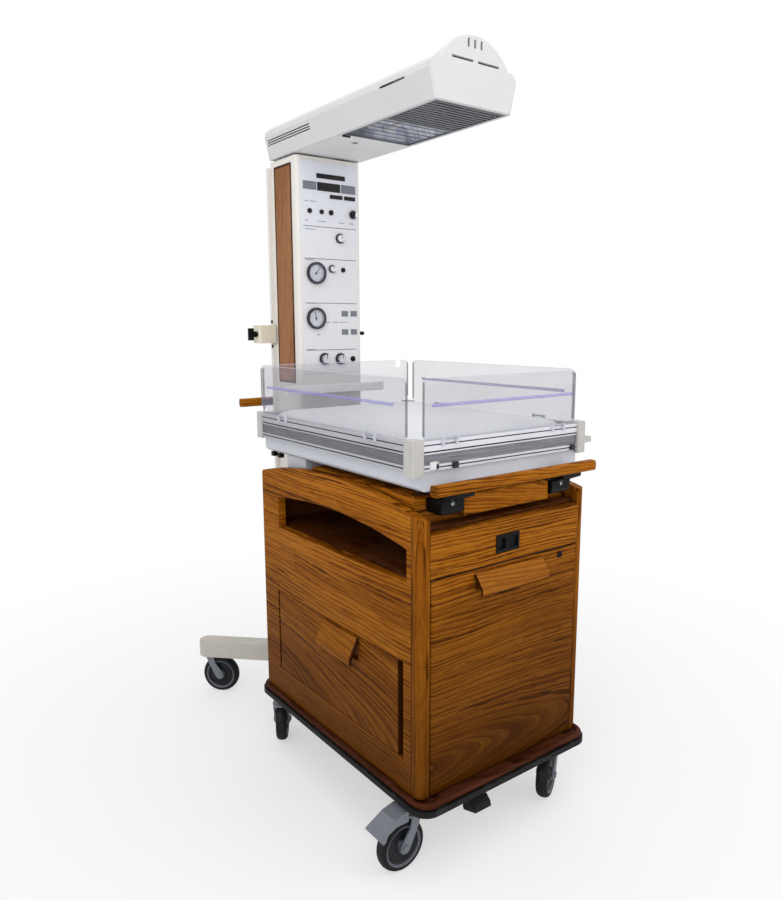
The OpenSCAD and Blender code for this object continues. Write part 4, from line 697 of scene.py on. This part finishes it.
class WARMER_OT_gauges(Maker, bpy.types.Operator):
    """White dials, scales, bezels, needles and lenses of the two gauges"""

    bl_idname = "warmer.gauges"
    bl_label = "Gauges"

    def make(self, wood, tint, size):
        white = moulded("dial_white", shade(226, 228, 240), 0.4, wear=0.05, worn=(0.6, 0.6, 0.6))
        bezel = {
            "upper": moulded("bezel_violet", shade(48, 42, 84), 0.3, wear=0.3, worn=shade(120, 116, 160)),
            "lower": moulded("bezel_black", shade(22, 21, 28), 0.3, wear=0.3, worn=shade(92, 92, 104)),
        }
        needle = moulded("needle_black", shade(22, 22, 30), 0.4)
        glass = Finish("gauge_lens", Base_Color=(1, 1, 1), Roughness=0.03, Transmission_Weight=1, IOR=1.45)
        dress(glass.mat, "gauge_lenses")
        case_depth = 0.0016
        face_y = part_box("column_shell")[0].y - PRINT_DEPTH - case_depth
        dress(needle, "needle_upper", "needle_lower")
        # The middle of each gauge on the panel, in the frame's metres
        for name, x, z in (("upper", -0.051, 1.382), ("lower", -0.054, 1.253)):
            mid = (x, face_y, z)
            profile = np.array([[0.0277, 0.0], [0.0277, 0.0004], [0.024, 0.0006], [0.0, 0.0006]])
            mesh_piece(f"dial_{name}", *turned(profile, mid, (0, -1, 0), 64), "frame", "panel_print", white)
            # The bezel is an ellipse turned round the dial
            t = np.linspace(0, 2 * np.pi, 17)
            ring = np.column_stack([0.0272 + 0.0036 * np.cos(t), 0.0062 + 0.0022 * np.sin(t)])
            mesh_piece(f"bezel_{name}", *turned(ring, (x, face_y + case_depth, z), (0, -1, 0), 72), "frame",
                       "black_plastic", bezel[name])
            angle = np.radians(np.linspace(-SWEEP, SWEEP, size.ticks + 1))
            major = angle[::5]
            face = np.array(mid) - [0, 0.0007, 0]
            mesh_piece(f"scale_{name}", *gathered([radial_ticks(face, angle, 0.0205, 0.0235, 0.0005),
                                                   radial_ticks(face, major, 0.0165, 0.0235, 0.0009)]),
                       "frame", "panel_print", SHARED["ink"], smooth=False)


class WARMER_OT_rails(Maker, bpy.types.Operator):
    """Grooved aluminium rails, corner blocks and catches round the bed"""

    bl_idname = "warmer.rails"
    bl_label = "Bed rim"

    def make(self, wood, tint, size):
        low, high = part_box("rim_rails")
        f = Finish("anodised_rail", Metallic=0.35, Specular_IOR_Level=0.4)
        x, y, z = f.axes()
        h = f.math("SUBTRACT", z, low.z)
        lines = f.noise(f.place((12, 12, 900)), 1, 3)
        bright = f.mix(f.span(f.noise(f.place(), 9, 3), 0.4, 0.8, 0, 0.3), tuple(tint.aluminium),
                       shade(176, 177, 186))
        sunk = f.math("MULTIPLY", f.span(h, 0.0125, 0.0135), f.span(h, 0.0365, 0.0355))
        base = f.mix(sunk, bright, f.mix(f.span(lines, 0.3, 0.7), shade(104, 105, 112), shade(146, 147, 154)))
        # Painted shade: every face but the front rail's is darker, as the side rails get less light
        base = f.mix(f.span(y, low.y + 0.002, low.y + 0.012, 0, 0.42), base, shade(92, 92, 100))
        # Painted shade: the grooves are darkened where shade lies in them
        for a, b in ((0.005, 0.008), (0.039, 0.0425), (0.054, 0.0565)):
            groove = f.math("MULTIPLY", f.math("GREATER_THAN", h, a), f.math("LESS_THAN", h, b))
            base = f.mix(groove, base, shade(38, 38, 42))
        f.set(Base_Color=base, Roughness=f.span(lines, 0.3, 0.7, 0.32, 0.5),
              Normal=f.bump(lines, 0.00008, 0.4, f.worn_edge(0.0008)))
        dress(f.mat, "rim_rails")
        g = Finish("corner_moulding", Roughness=0.5)
        x, y, z = g.axes()
        at = g.place()
        catch = g.math("MULTIPLY", g.math("LESS_THAN", y, low.y - 0.0002),
                       g.math("LESS_THAN", g.math("ABSOLUTE", x), 0.24))
        black = g.math("MULTIPLY", catch, g.math("LESS_THAN", z, low.z + 0.0145))
        white = g.math("MULTIPLY", g.math("MULTIPLY", catch, g.math("LESS_THAN", x, -0.2095)),
                       g.math("LESS_THAN", z, low.z + 0.021))
        base = g.mix(g.span(g.noise(at, 30, 3), 0.4, 0.8, 0, 0.2), tuple(tint.blocks), shade(158, 152, 144))
        base = g.mix(black, base, tuple(tint.black))
        base = g.mix(white, base, shade(232, 233, 236))
        arm = g.math("GREATER_THAN", z, high.z - 0.0112)
        beyond = g.math("GREATER_THAN", g.math("ABSOLUTE", x), high.x + 0.0042)
        ahead = g.math("MULTIPLY", g.math("LESS_THAN", y, low.y - 0.0002),
                       g.math("LESS_THAN", g.math("ABSOLUTE", x), 0.22))
        off = g.math("MAXIMUM", beyond, ahead)
        near = g.math("MULTIPLY", g.math("LESS_THAN", y, high.y - 0.1),
                      g.math("GREATER_THAN", y, low.y + 0.1))
        arm = g.math("MULTIPLY", arm, g.math("MAXIMUM", off, near), clamp=True)
        base = g.mix(arm, base, shade(206, 208, 216))
        g.set(Base_Color=base, Normal=g.bump(g.noise(at, 1100, 2), 0.00012, 0.5, g.worn_edge(0.0012)))
        dress(g.mat, "rim_hardware")


class WARMER_OT_acrylic(Maker, bpy.types.Operator):
    """Clear acrylic sheets whose edges and grips gather violet light"""

    bl_idname = "warmer.acrylic"
    bl_label = "Clear panels"

    def make(self, wood, tint, size):
        rim = 0.0009
        grip_low, grip_high, grip_deep = 1.0625, 1.0735, 0.0062
        for side in ("front", "left", "right", "rear"):
            a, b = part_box(f"clear_panel_{side}")
            f = Finish(f"acrylic_{side}", IOR=2.2, Specular_IOR_Level=0.5)
            x, y, z = f.axes()
            run, low, high = (x, a.x, b.x) if side in ("front", "rear") else (y, a.y, b.y)
            upright = f.math("MAXIMUM", f.math("LESS_THAN", run, low + rim),
                             f.math("GREATER_THAN", run, high - rim))
            top = f.math("GREATER_THAN", z, b.z - rim)
            clouds = f.noise(f.place((1, 1, 1.6)), 6, 4, 0.55)
            base = f.mix(f.span(clouds, 0.35, 0.7), tuple(tint.clear),
                         mixed(tuple(tint.clear), (0.9, 0.9, 1), 0.18))
            # Painted highlight: the top edges are paler where light from above catches them; painted shade:
            # the upright edges are darker
            base = f.mix(top, base, mixed(tuple(tint.edge), (1, 1, 1), 0.55))
            base = f.mix(upright, base, shade(80, 82, 96))
            solid = f.math("MULTIPLY_ADD", f.math("MAXIMUM", upright, top), 0.6,
                           f.span(clouds, 0.3, 0.75, 0.12, 0.18))
            if side != "rear":
                strip = f.math("MULTIPLY", f.math("GREATER_THAN", z, grip_low),
                               f.math("LESS_THAN", z, grip_high))
                across, line, way = {"front": (y, a.y + grip_deep, "LESS_THAN"),
                                     "left": (x, a.x + grip_deep, "LESS_THAN"),
                                     "right": (x, b.x - grip_deep, "GREATER_THAN")}[side]
                grip = f.math("MULTIPLY", strip, f.math(way, across, line))
                base = f.mix(grip, base, tuple(tint.edge))
                solid = f.math("MAXIMUM", solid, f.math("MULTIPLY", grip, 0.72))
            f.set(Base_Color=base, Alpha=solid, Roughness=f.span(clouds, 0.5, 0.8, 0.03, 0.12))
            dress(f.mat, f"clear_panel_{side}")


class WARMER_OT_mattress(Maker, bpy.types.Operator):
    """Filled mattress in a coated cover, swollen by pressure inside a cloth skin"""

    bl_idname = "warmer.mattress"
    bl_label = "Mattress"

    def make(self, wood, tint, size):
        low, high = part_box("mattress")
        centre, half = (low + high) / 2, (high - low) / 2
        # Rounded slab: the ring of a superellipse |x/a|^14 + |y/b|^14 = 1 is carried over a profile of inset
        # and height
        inset = np.array([60, 30, 14, 6, 2.5, 2, 2, 3, 5.5, 12, 24, 50, 90, 140]) / 1000
        height = np.array([0, 0, 0.4, 3, 9, 18, 32, 42, 48.5, 52.6, 54, 55.6, 57.6, 58.6]) / 1000
        n = 200
        t = np.arange(n) * 2 * np.pi / n
        c, s = np.cos(t), np.sin(t)
        power = 2 / 14
        ux, uy = np.sign(c) * np.abs(c) ** power, np.sign(s) * np.abs(s) ** power
        verts = np.stack([(half.x - inset)[:, None] * ux, (half.y - inset)[:, None] * uy,
                          height[:, None] + 0 * ux], -1).reshape(-1, 3)
        verts = verts + [centre.x, centre.y, low.z]
        rows = len(inset)
        verts = np.concatenate([verts, [[centre.x, centre.y, low.z]], [[centre.x, centre.y, low.z + 0.0592]]])
        k = np.arange(n)
        after, last = (k + 1) % n, (rows - 1) * n
        # Two fans of triangles close the slab: one round the middle of its underside, one round its top's
        under = np.stack([after, k, 0 * k + rows * n], -1)
        over = np.stack([last + k, last + after, 0 * k + rows * n + 1], -1)
        faces = grid_faces(rows, n, True).tolist() + under.tolist() + over.tolist()
        o = mesh_piece("mattress_cover", verts, faces, "bed", "mattress_cover", self.fabric(tint))
        swollen(o, size.voxel, size.swell, low, high)
        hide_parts("mattress")

    @staticmethod
    def fabric(tint):
        """Coated fabric: a fine plain weave pressed into a satin film, with soft handling marks."""
        f = Finish("coated_fabric", Sheen_Weight=0.1)
        at = f.place()
        x, y, _ = f.axes(at)
        threads = 5200
        weave = f.math("MULTIPLY", f.math("SINE", f.math("MULTIPLY", x, threads)),
                       f.math("SINE", f.math("MULTIPLY", y, threads)))
        marks = f.noise(at, 7, 4, 0.6)
        base = f.mix(f.span(marks, 0.45, 0.8, 0, 0.12), tuple(tint.cover), shade(188, 190, 204))
        rough = f.span(marks, 0.3, 0.7, 0.34, 0.5)
        hills = f.math("ADD", f.math("MULTIPLY", weave, 0.3), f.noise(at, 60, 3))
        return f.set(Base_Color=base, Roughness=rough, Normal=f.bump(hills, 0.0004, 0.5)).mat


def swollen(o, voxel, cap, low, high):
    """Remeshes a closed piece evenly, lets cloth pressure fill it, and keeps each point within a cap of where
    it was and inside the given box."""
    bpy.context.view_layer.objects.active = o
    o.select_set(True)
    remesh = o.modifiers.new("even", "REMESH")
    remesh.mode, remesh.voxel_size = "VOXEL", voxel
    bpy.ops.object.modifier_apply(modifier=remesh.name)
    mesh = o.data
    count = len(mesh.vertices)
    start = np.empty(count * 3)
    mesh.vertices.foreach_get("co", start)
    start = start.reshape(-1, 3)
    cloth = o.modifiers.new("fill", "CLOTH")
    s = cloth.settings
    s.use_pressure, s.uniform_pressure_force = True, 4
    s.effector_weights.gravity = 0
    s.mass, s.tension_stiffness, s.compression_stiffness, s.bending_stiffness = 0.3, 12, 12, 0.4
    s.quality = 4
    cloth.point_cache.frame_start, cloth.point_cache.frame_end = 1, SETTLE_FRAMES
    scene = bpy.context.scene
    for i in range(1, SETTLE_FRAMES + 1):
        scene.frame_set(i)
    moved = o.evaluated_get(bpy.context.evaluated_depsgraph_get())
    end = np.empty(count * 3)
    moved.data.vertices.foreach_get("co", end)
    end = end.reshape(-1, 3)
    o.modifiers.remove(cloth)
    scene.frame_set(1)
    step = end - start
    length = np.linalg.norm(step, axis=1, keepdims=True)
    step = step * np.minimum(1, cap / np.maximum(length, 1e-9))
    done = np.clip(start + step, np.array(low) + 0.0002, np.array(high) - 0.0002)
    mesh.vertices.foreach_set("co", done.ravel())
    mesh.update()
    mesh.shade_smooth()
    sub = o.modifiers.new("smooth", "SUBSURF")
    sub.levels = sub.render_levels = 1
    bpy.ops.object.modifier_apply(modifier=sub.name)
    mesh.shade_smooth()
    o.select_set(False)


class WARMER_OT_heater(Maker, bpy.types.Operator):
    """Bright reflector, quartz heaters and wire guard under the hood"""

    bl_idname = "warmer.heater"
    bl_label = "Heater"

    def make(self, wood, tint, size):
        f = Finish("mirror_sheet", Metallic=0.2, Roughness=0.3)
        dents = f.noise(f.place((1, 3, 1)), 26, 3)
        tone = f.mix(f.span(dents, 0.35, 0.7), shade(252, 253, 255), shade(186, 194, 216))
        # Painted shadow: the reflector's left side, which lies in shade, is darkened
        tone = f.mix(f.span(f.axes()[0], 0.0, -0.05, 0, 0.75), tone, shade(92, 96, 108))
        f.set(Base_Color=tone, Normal=f.bump(dents, 0.003, 0.8))
        dress(f.mat, "reflector")
        f = Finish("quartz_tube", Roughness=0.12, Coat_Weight=0.6)
        rings = f.math("SINE", f.math("MULTIPLY", f.axes()[1], 2400))
        f.set(Base_Color=f.mix(f.span(rings, -0.4, 0.6), shade(186, 180, 178), shade(232, 232, 236)))
        dress(f.mat, "heater_rod")
        dress(metal("guard_wire", shade(118, 120, 128), 0.35), "heater_guard")


class WARMER_OT_castors(Maker, bpy.types.Operator):
    """Grey castor forks and pedals, and wheels with rubber tyres on grey rims"""

    bl_idname = "warmer.castors"
    bl_label = "Castors"

    def make(self, wood, tint, size):
        grey = metal("castor_grey", tuple(tint.castor), 0.4, (160, 160, 160), 0.2, 0.5)
        dress(grey, *[n for n in NODES if n.startswith(("fork_", "brake_"))])
        spins = {j["child"]: Vector(j["axis"]) for j in frame["joints"]
                 if j["name"].startswith("wheel_spin_")}
        for name, axis in spins.items():
            a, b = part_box(name)
            turn = axis.to_track_quat("Z", "Y").to_euler()
            f = Finish(f"{name}_rubber", Specular_IOR_Level=0.25)
            x, y, z = f.axes(f.place(centre=(a + b) / 2, turn=turn))
            r = f.math("SQRT", f.math("ADD", f.math("MULTIPLY", x, x), f.math("MULTIPLY", y, y)))
            # From the axle outwards: grey hub, black web, grey ring of the rim, and the rubber tread
            rim = f.math("MULTIPLY", f.span(r, 0.0425, 0.0435), f.span(r, 0.049, 0.048))
            hub = f.span(r, 0.0165, 0.0155)
            dust = f.noise(f.place(), 40, 3)
            web = f.mix(f.span(dust, 0.4, 0.8, 0, 0.4), shade(16, 18, 22), shade(40, 42, 48))
            tone = f.mix(f.span(r, 0.0485, 0.0495), web, tuple(tint.tyre))
            tone = f.mix(rim, tone, shade(92, 94, 102))
            tone = f.mix(hub, tone, shade(74, 76, 84))
            dusty = f.mix(f.span(dust, 0.4, 0.7), shade(12, 12, 14), shade(36, 35, 34))
            tread = f.mix(f.span(r, 0.0595, 0.061), tone, dusty)
            f.set(Base_Color=tread, Roughness=f.span(r, 0.047, 0.049, 0.38, 0.62),
                  Normal=f.bump(dust, 0.0003, 0.4))
            dress(f.mat, name)


class WARMER_OT_fittings(Maker, bpy.types.Operator):
    """Bumper, brackets, pedal, clamps, socket plate, screw heads, stops, painted shadow at the guard and the
    lamp's eye
    """

    bl_idname = "warmer.fittings"
    bl_label = "Fittings"

    def make(self, wood, tint, size):
        black = tuple(tint.black)
        dress(moulded("bumper_rubber", mixed(black, (0, 0, 0), 0.2), 0.6, 500), "base_bumper")
        dress(moulded("black_bracket", black, 0.3, 700, wear=0.03, edge=0.006, shine=0.12), "bar_brackets")
        dress(moulded("pedal_rubber", black, 0.55, 400), "foot_pedal")
        dress(moulded("ivory_clamp", shade(232, 227, 208), 0.4, edge=0.004), "rail_clamps")
        dress(SHARED["black"], "clamp_screw_left", "clamp_screw_right", "socket_plate")
        r = size.screw
        screws("bracket_screws", [here(x, -366.2, 857) for x in (-172, 172)], (0, -1, 0), "frame", r * 1.3)
        screws("rail_bolts", [here(-121, 524.5, z) for z in (1244, 1170.4)], (-1, 0, 0), "frame", r * 1.5,
               material="black")
        a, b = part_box("clamp_screw_right")
        cap = np.array([[0, -0.002], [0.005, -0.002], [0.006, 0.002], [0.006, 0.016], [0.0042, 0.0185],
                        [0, 0.019]])
        mesh_piece("clamp_end", *turned(cap, (b.x, (a.y + b.y) / 2, (a.z + b.z) / 2), (1, 0, 0), 24),
                   "clamp_screw_right", "black_plastic", SHARED["black"])
        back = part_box("column_shell")[1].y + 0.0001
        screws("back_screws", [(x, back, z) for x in (-0.094, 0.094) for z in (0.24, 0.6, 0.96, 1.32, 1.62)],
               (0, 1, 0), "frame", r)
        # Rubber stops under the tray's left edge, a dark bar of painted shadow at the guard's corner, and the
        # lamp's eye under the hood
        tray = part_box("bed_tray")[0].x
        stops = np.array([here(0, y, 874) for y in (278, 315)]) + [tray + 0.012, 0, 0]
        mesh_piece("tray_stops", *blocks(stops - [0.006, 0.008, 0], stops + [0.006, 0.008, 0.012]), "bed",
                   "black_plastic", SHARED["black"], smooth=False)
        # Painted shadow: a dark bar where shade falls at the guard's corner
        guard_shade = np.array([here(-92, 148, 1705.5)])
        mesh_piece("guard_shade_bar", *blocks(guard_shade - [0.011, 0.003, 0], guard_shade + [0.011, 0.003, 0.0036]), "hood",
                   "black_plastic", SHARED["dark"], smooth=False)
        eye = np.array([[0, -0.0006], [0.006, -0.0002], [0.0086, 0.0006], [0.0092, 0.002]])
        mesh_piece("hood_eye", *turned(eye, here(-34, 195, 1707.4), (0, 0, 1), 32), "hood", "black_plastic",
                   SHARED["dark"])


class WARMER_OT_stage(bpy.types.Operator):
    """Pale floor, even white surroundings, three large soft lamps and the camera"""

    bl_idname = "warmer.stage"
    bl_label = "Stage"

    def execute(self, context):
        scene, props = context.scene, context.scene.warmer_stage
        world = bpy.data.worlds.new("even_white")
        world.use_nodes = True
        scene.world = world
        tree = world.node_tree
        back = tree.nodes["Background"]
        back.inputs["Color"].default_value = (1, 1, 1, 1)
        path = tree.nodes.new("ShaderNodeLightPath")
        seen = path.outputs["Is Camera Ray"]
        for ray in ("Is Glossy Ray", "Is Transmission Ray"):
            m = tree.nodes.new("ShaderNodeMath")
            m.operation = "MAXIMUM"
            tree.links.new(seen, m.inputs[0])
            tree.links.new(path.outputs[ray], m.inputs[1])
            seen = m.outputs[0]
        power = tree.nodes.new("ShaderNodeMapRange")
        power.inputs["To Min"].default_value = props.sky
        power.inputs["To Max"].default_value = 1
        tree.links.new(seen, power.inputs["Value"])
        tree.links.new(power.outputs[0], back.inputs["Strength"])
        self.floor(props)
        middle = Vector((0, 0.05, 0.85))
        for name, place, watts, width in (("key", (-3.0, -2.6, 3.0), props.key, 3.0),
                                          ("fill", (2.6, -3.2, 2.2), props.fill, 3.0),
                                          ("top", (-0.6, -1.2, 3.6), props.top, 2.4)):
            light = bpy.data.lights.new(name, "AREA")
            light.energy, light.size = watts, width
            lamp = bpy.data.objects.new(name, light)
            lamp.location = place
            lamp.rotation_euler = (middle - Vector(place)).to_track_quat("-Z", "Y").to_euler()
            scene.collection.objects.link(lamp)
        lens = bpy.data.cameras.new("view")
        lens.sensor_width, lens.lens = 36, 29.78
        camera = bpy.data.objects.new("view", lens)
        aim = Euler((math.radians(80.54), 0, math.radians(-36.63))).to_matrix()
        turn = aim @ Matrix.Rotation(math.radians(-0.21), 3, "Z")
        camera.rotation_euler = turn.to_euler()
        camera.location = (-1.19835, -1.72333, 1.23021)
        scene.collection.objects.link(camera)
        scene.camera = camera
        scene.view_settings.view_transform = "Standard"
        return {"FINISHED"}

    @staticmethod
    def floor(props):
        """Round floor at z = 0 that turns to the white of its surroundings away from the object."""
        f = Finish("pale_floor", Roughness=0.9)
        f.set(Base_Color=tuple(props.floor), Specular_IOR_Level=0.1)
        x, y, z = f.axes()
        far = f.math("SQRT", f.math("ADD", f.math("MULTIPLY", x, x), f.math("MULTIPLY", y, y)))
        glow = f.node("ShaderNodeEmission")
        glow.inputs["Color"].default_value = (1, 1, 1, 1)
        blend = f.node("ShaderNodeMixShader")
        path = f.node("ShaderNodeLightPath")
        fade = f.math("MULTIPLY", f.span(far, 0.2, 2.2, 0.5, 1), path.outputs["Is Camera Ray"])
        f.put(blend.inputs[0], fade)
        f.tree.links.new(f.shader.outputs[0], blend.inputs[1])
        f.tree.links.new(glow.outputs[0], blend.inputs[2])
        out = next(n for n in f.tree.nodes if n.type == "OUTPUT_MATERIAL")
        f.tree.links.new(blend.outputs[0], out.inputs[0])
        sides = 96
        r = np.array([0.001, 1, 2, 4, 40.0])
        t = np.arange(sides) * 2 * np.pi / sides
        verts = np.stack([r[:, None] * np.cos(t), r[:, None] * np.sin(t), 0 * r[:, None] + 0 * t], -1)
        mesh = bpy.data.meshes.new("floor")
        mesh.from_pydata(verts.reshape(-1, 3).tolist(), [],
                         grid_faces(len(r), sides, True)[:, ::-1].tolist())
        mesh.materials.append(f.mat)
        o = bpy.data.objects.new("floor", mesh)
        bpy.context.scene.collection.objects.link(o)


class WARMER_PT_panel(bpy.types.Panel):
    """Lists the warmer's settings and pieces"""

    bl_label = "Infant warmer"
    bl_idname = "WARMER_PT_panel"
    bl_space_type = "VIEW_3D"
    bl_region_type = "UI"
    bl_category = "Warmer"

    def draw(self, context):
        for group in (context.scene.warmer_wood, context.scene.warmer_colours, context.scene.warmer_sizes,
                      context.scene.warmer_stage):
            box = self.layout.box()
            for key in group.bl_rna.properties.keys():
                if key not in ("rna_type", "name"):
                    box.prop(group, key)
        for maker in MAKERS:
            self.layout.operator(maker.bl_idname)


GROUPS = {"warmer_wood": WarmerWood, "warmer_colours": WarmerColours, "warmer_sizes": WarmerSizes,
          "warmer_stage": WarmerStage}
MAKERS = (WARMER_OT_stock, WARMER_OT_wood, WARMER_OT_enamel, WARMER_OT_panel, WARMER_OT_gauges,
          WARMER_OT_rails, WARMER_OT_acrylic, WARMER_OT_mattress, WARMER_OT_heater, WARMER_OT_castors,
          WARMER_OT_fittings, WARMER_OT_stage)


def register():
    for key, group in GROUPS.items():
        bpy.utils.register_class(group)
        setattr(bpy.types.Scene, key, PointerProperty(type=group))
    for thing in (*MAKERS, WARMER_PT_panel):
        bpy.utils.register_class(thing)


def unregister():
    for thing in (WARMER_PT_panel, *reversed(MAKERS)):
        bpy.utils.unregister_class(thing)
    for key, group in GROUPS.items():
        delattr(bpy.types.Scene, key)
        bpy.utils.unregister_class(group)


def main():
    register()
    for maker in MAKERS:
        group, name = maker.bl_idname.split(".")
        getattr(getattr(bpy.ops, group), name)()


if __name__ == "__main__":
    main()
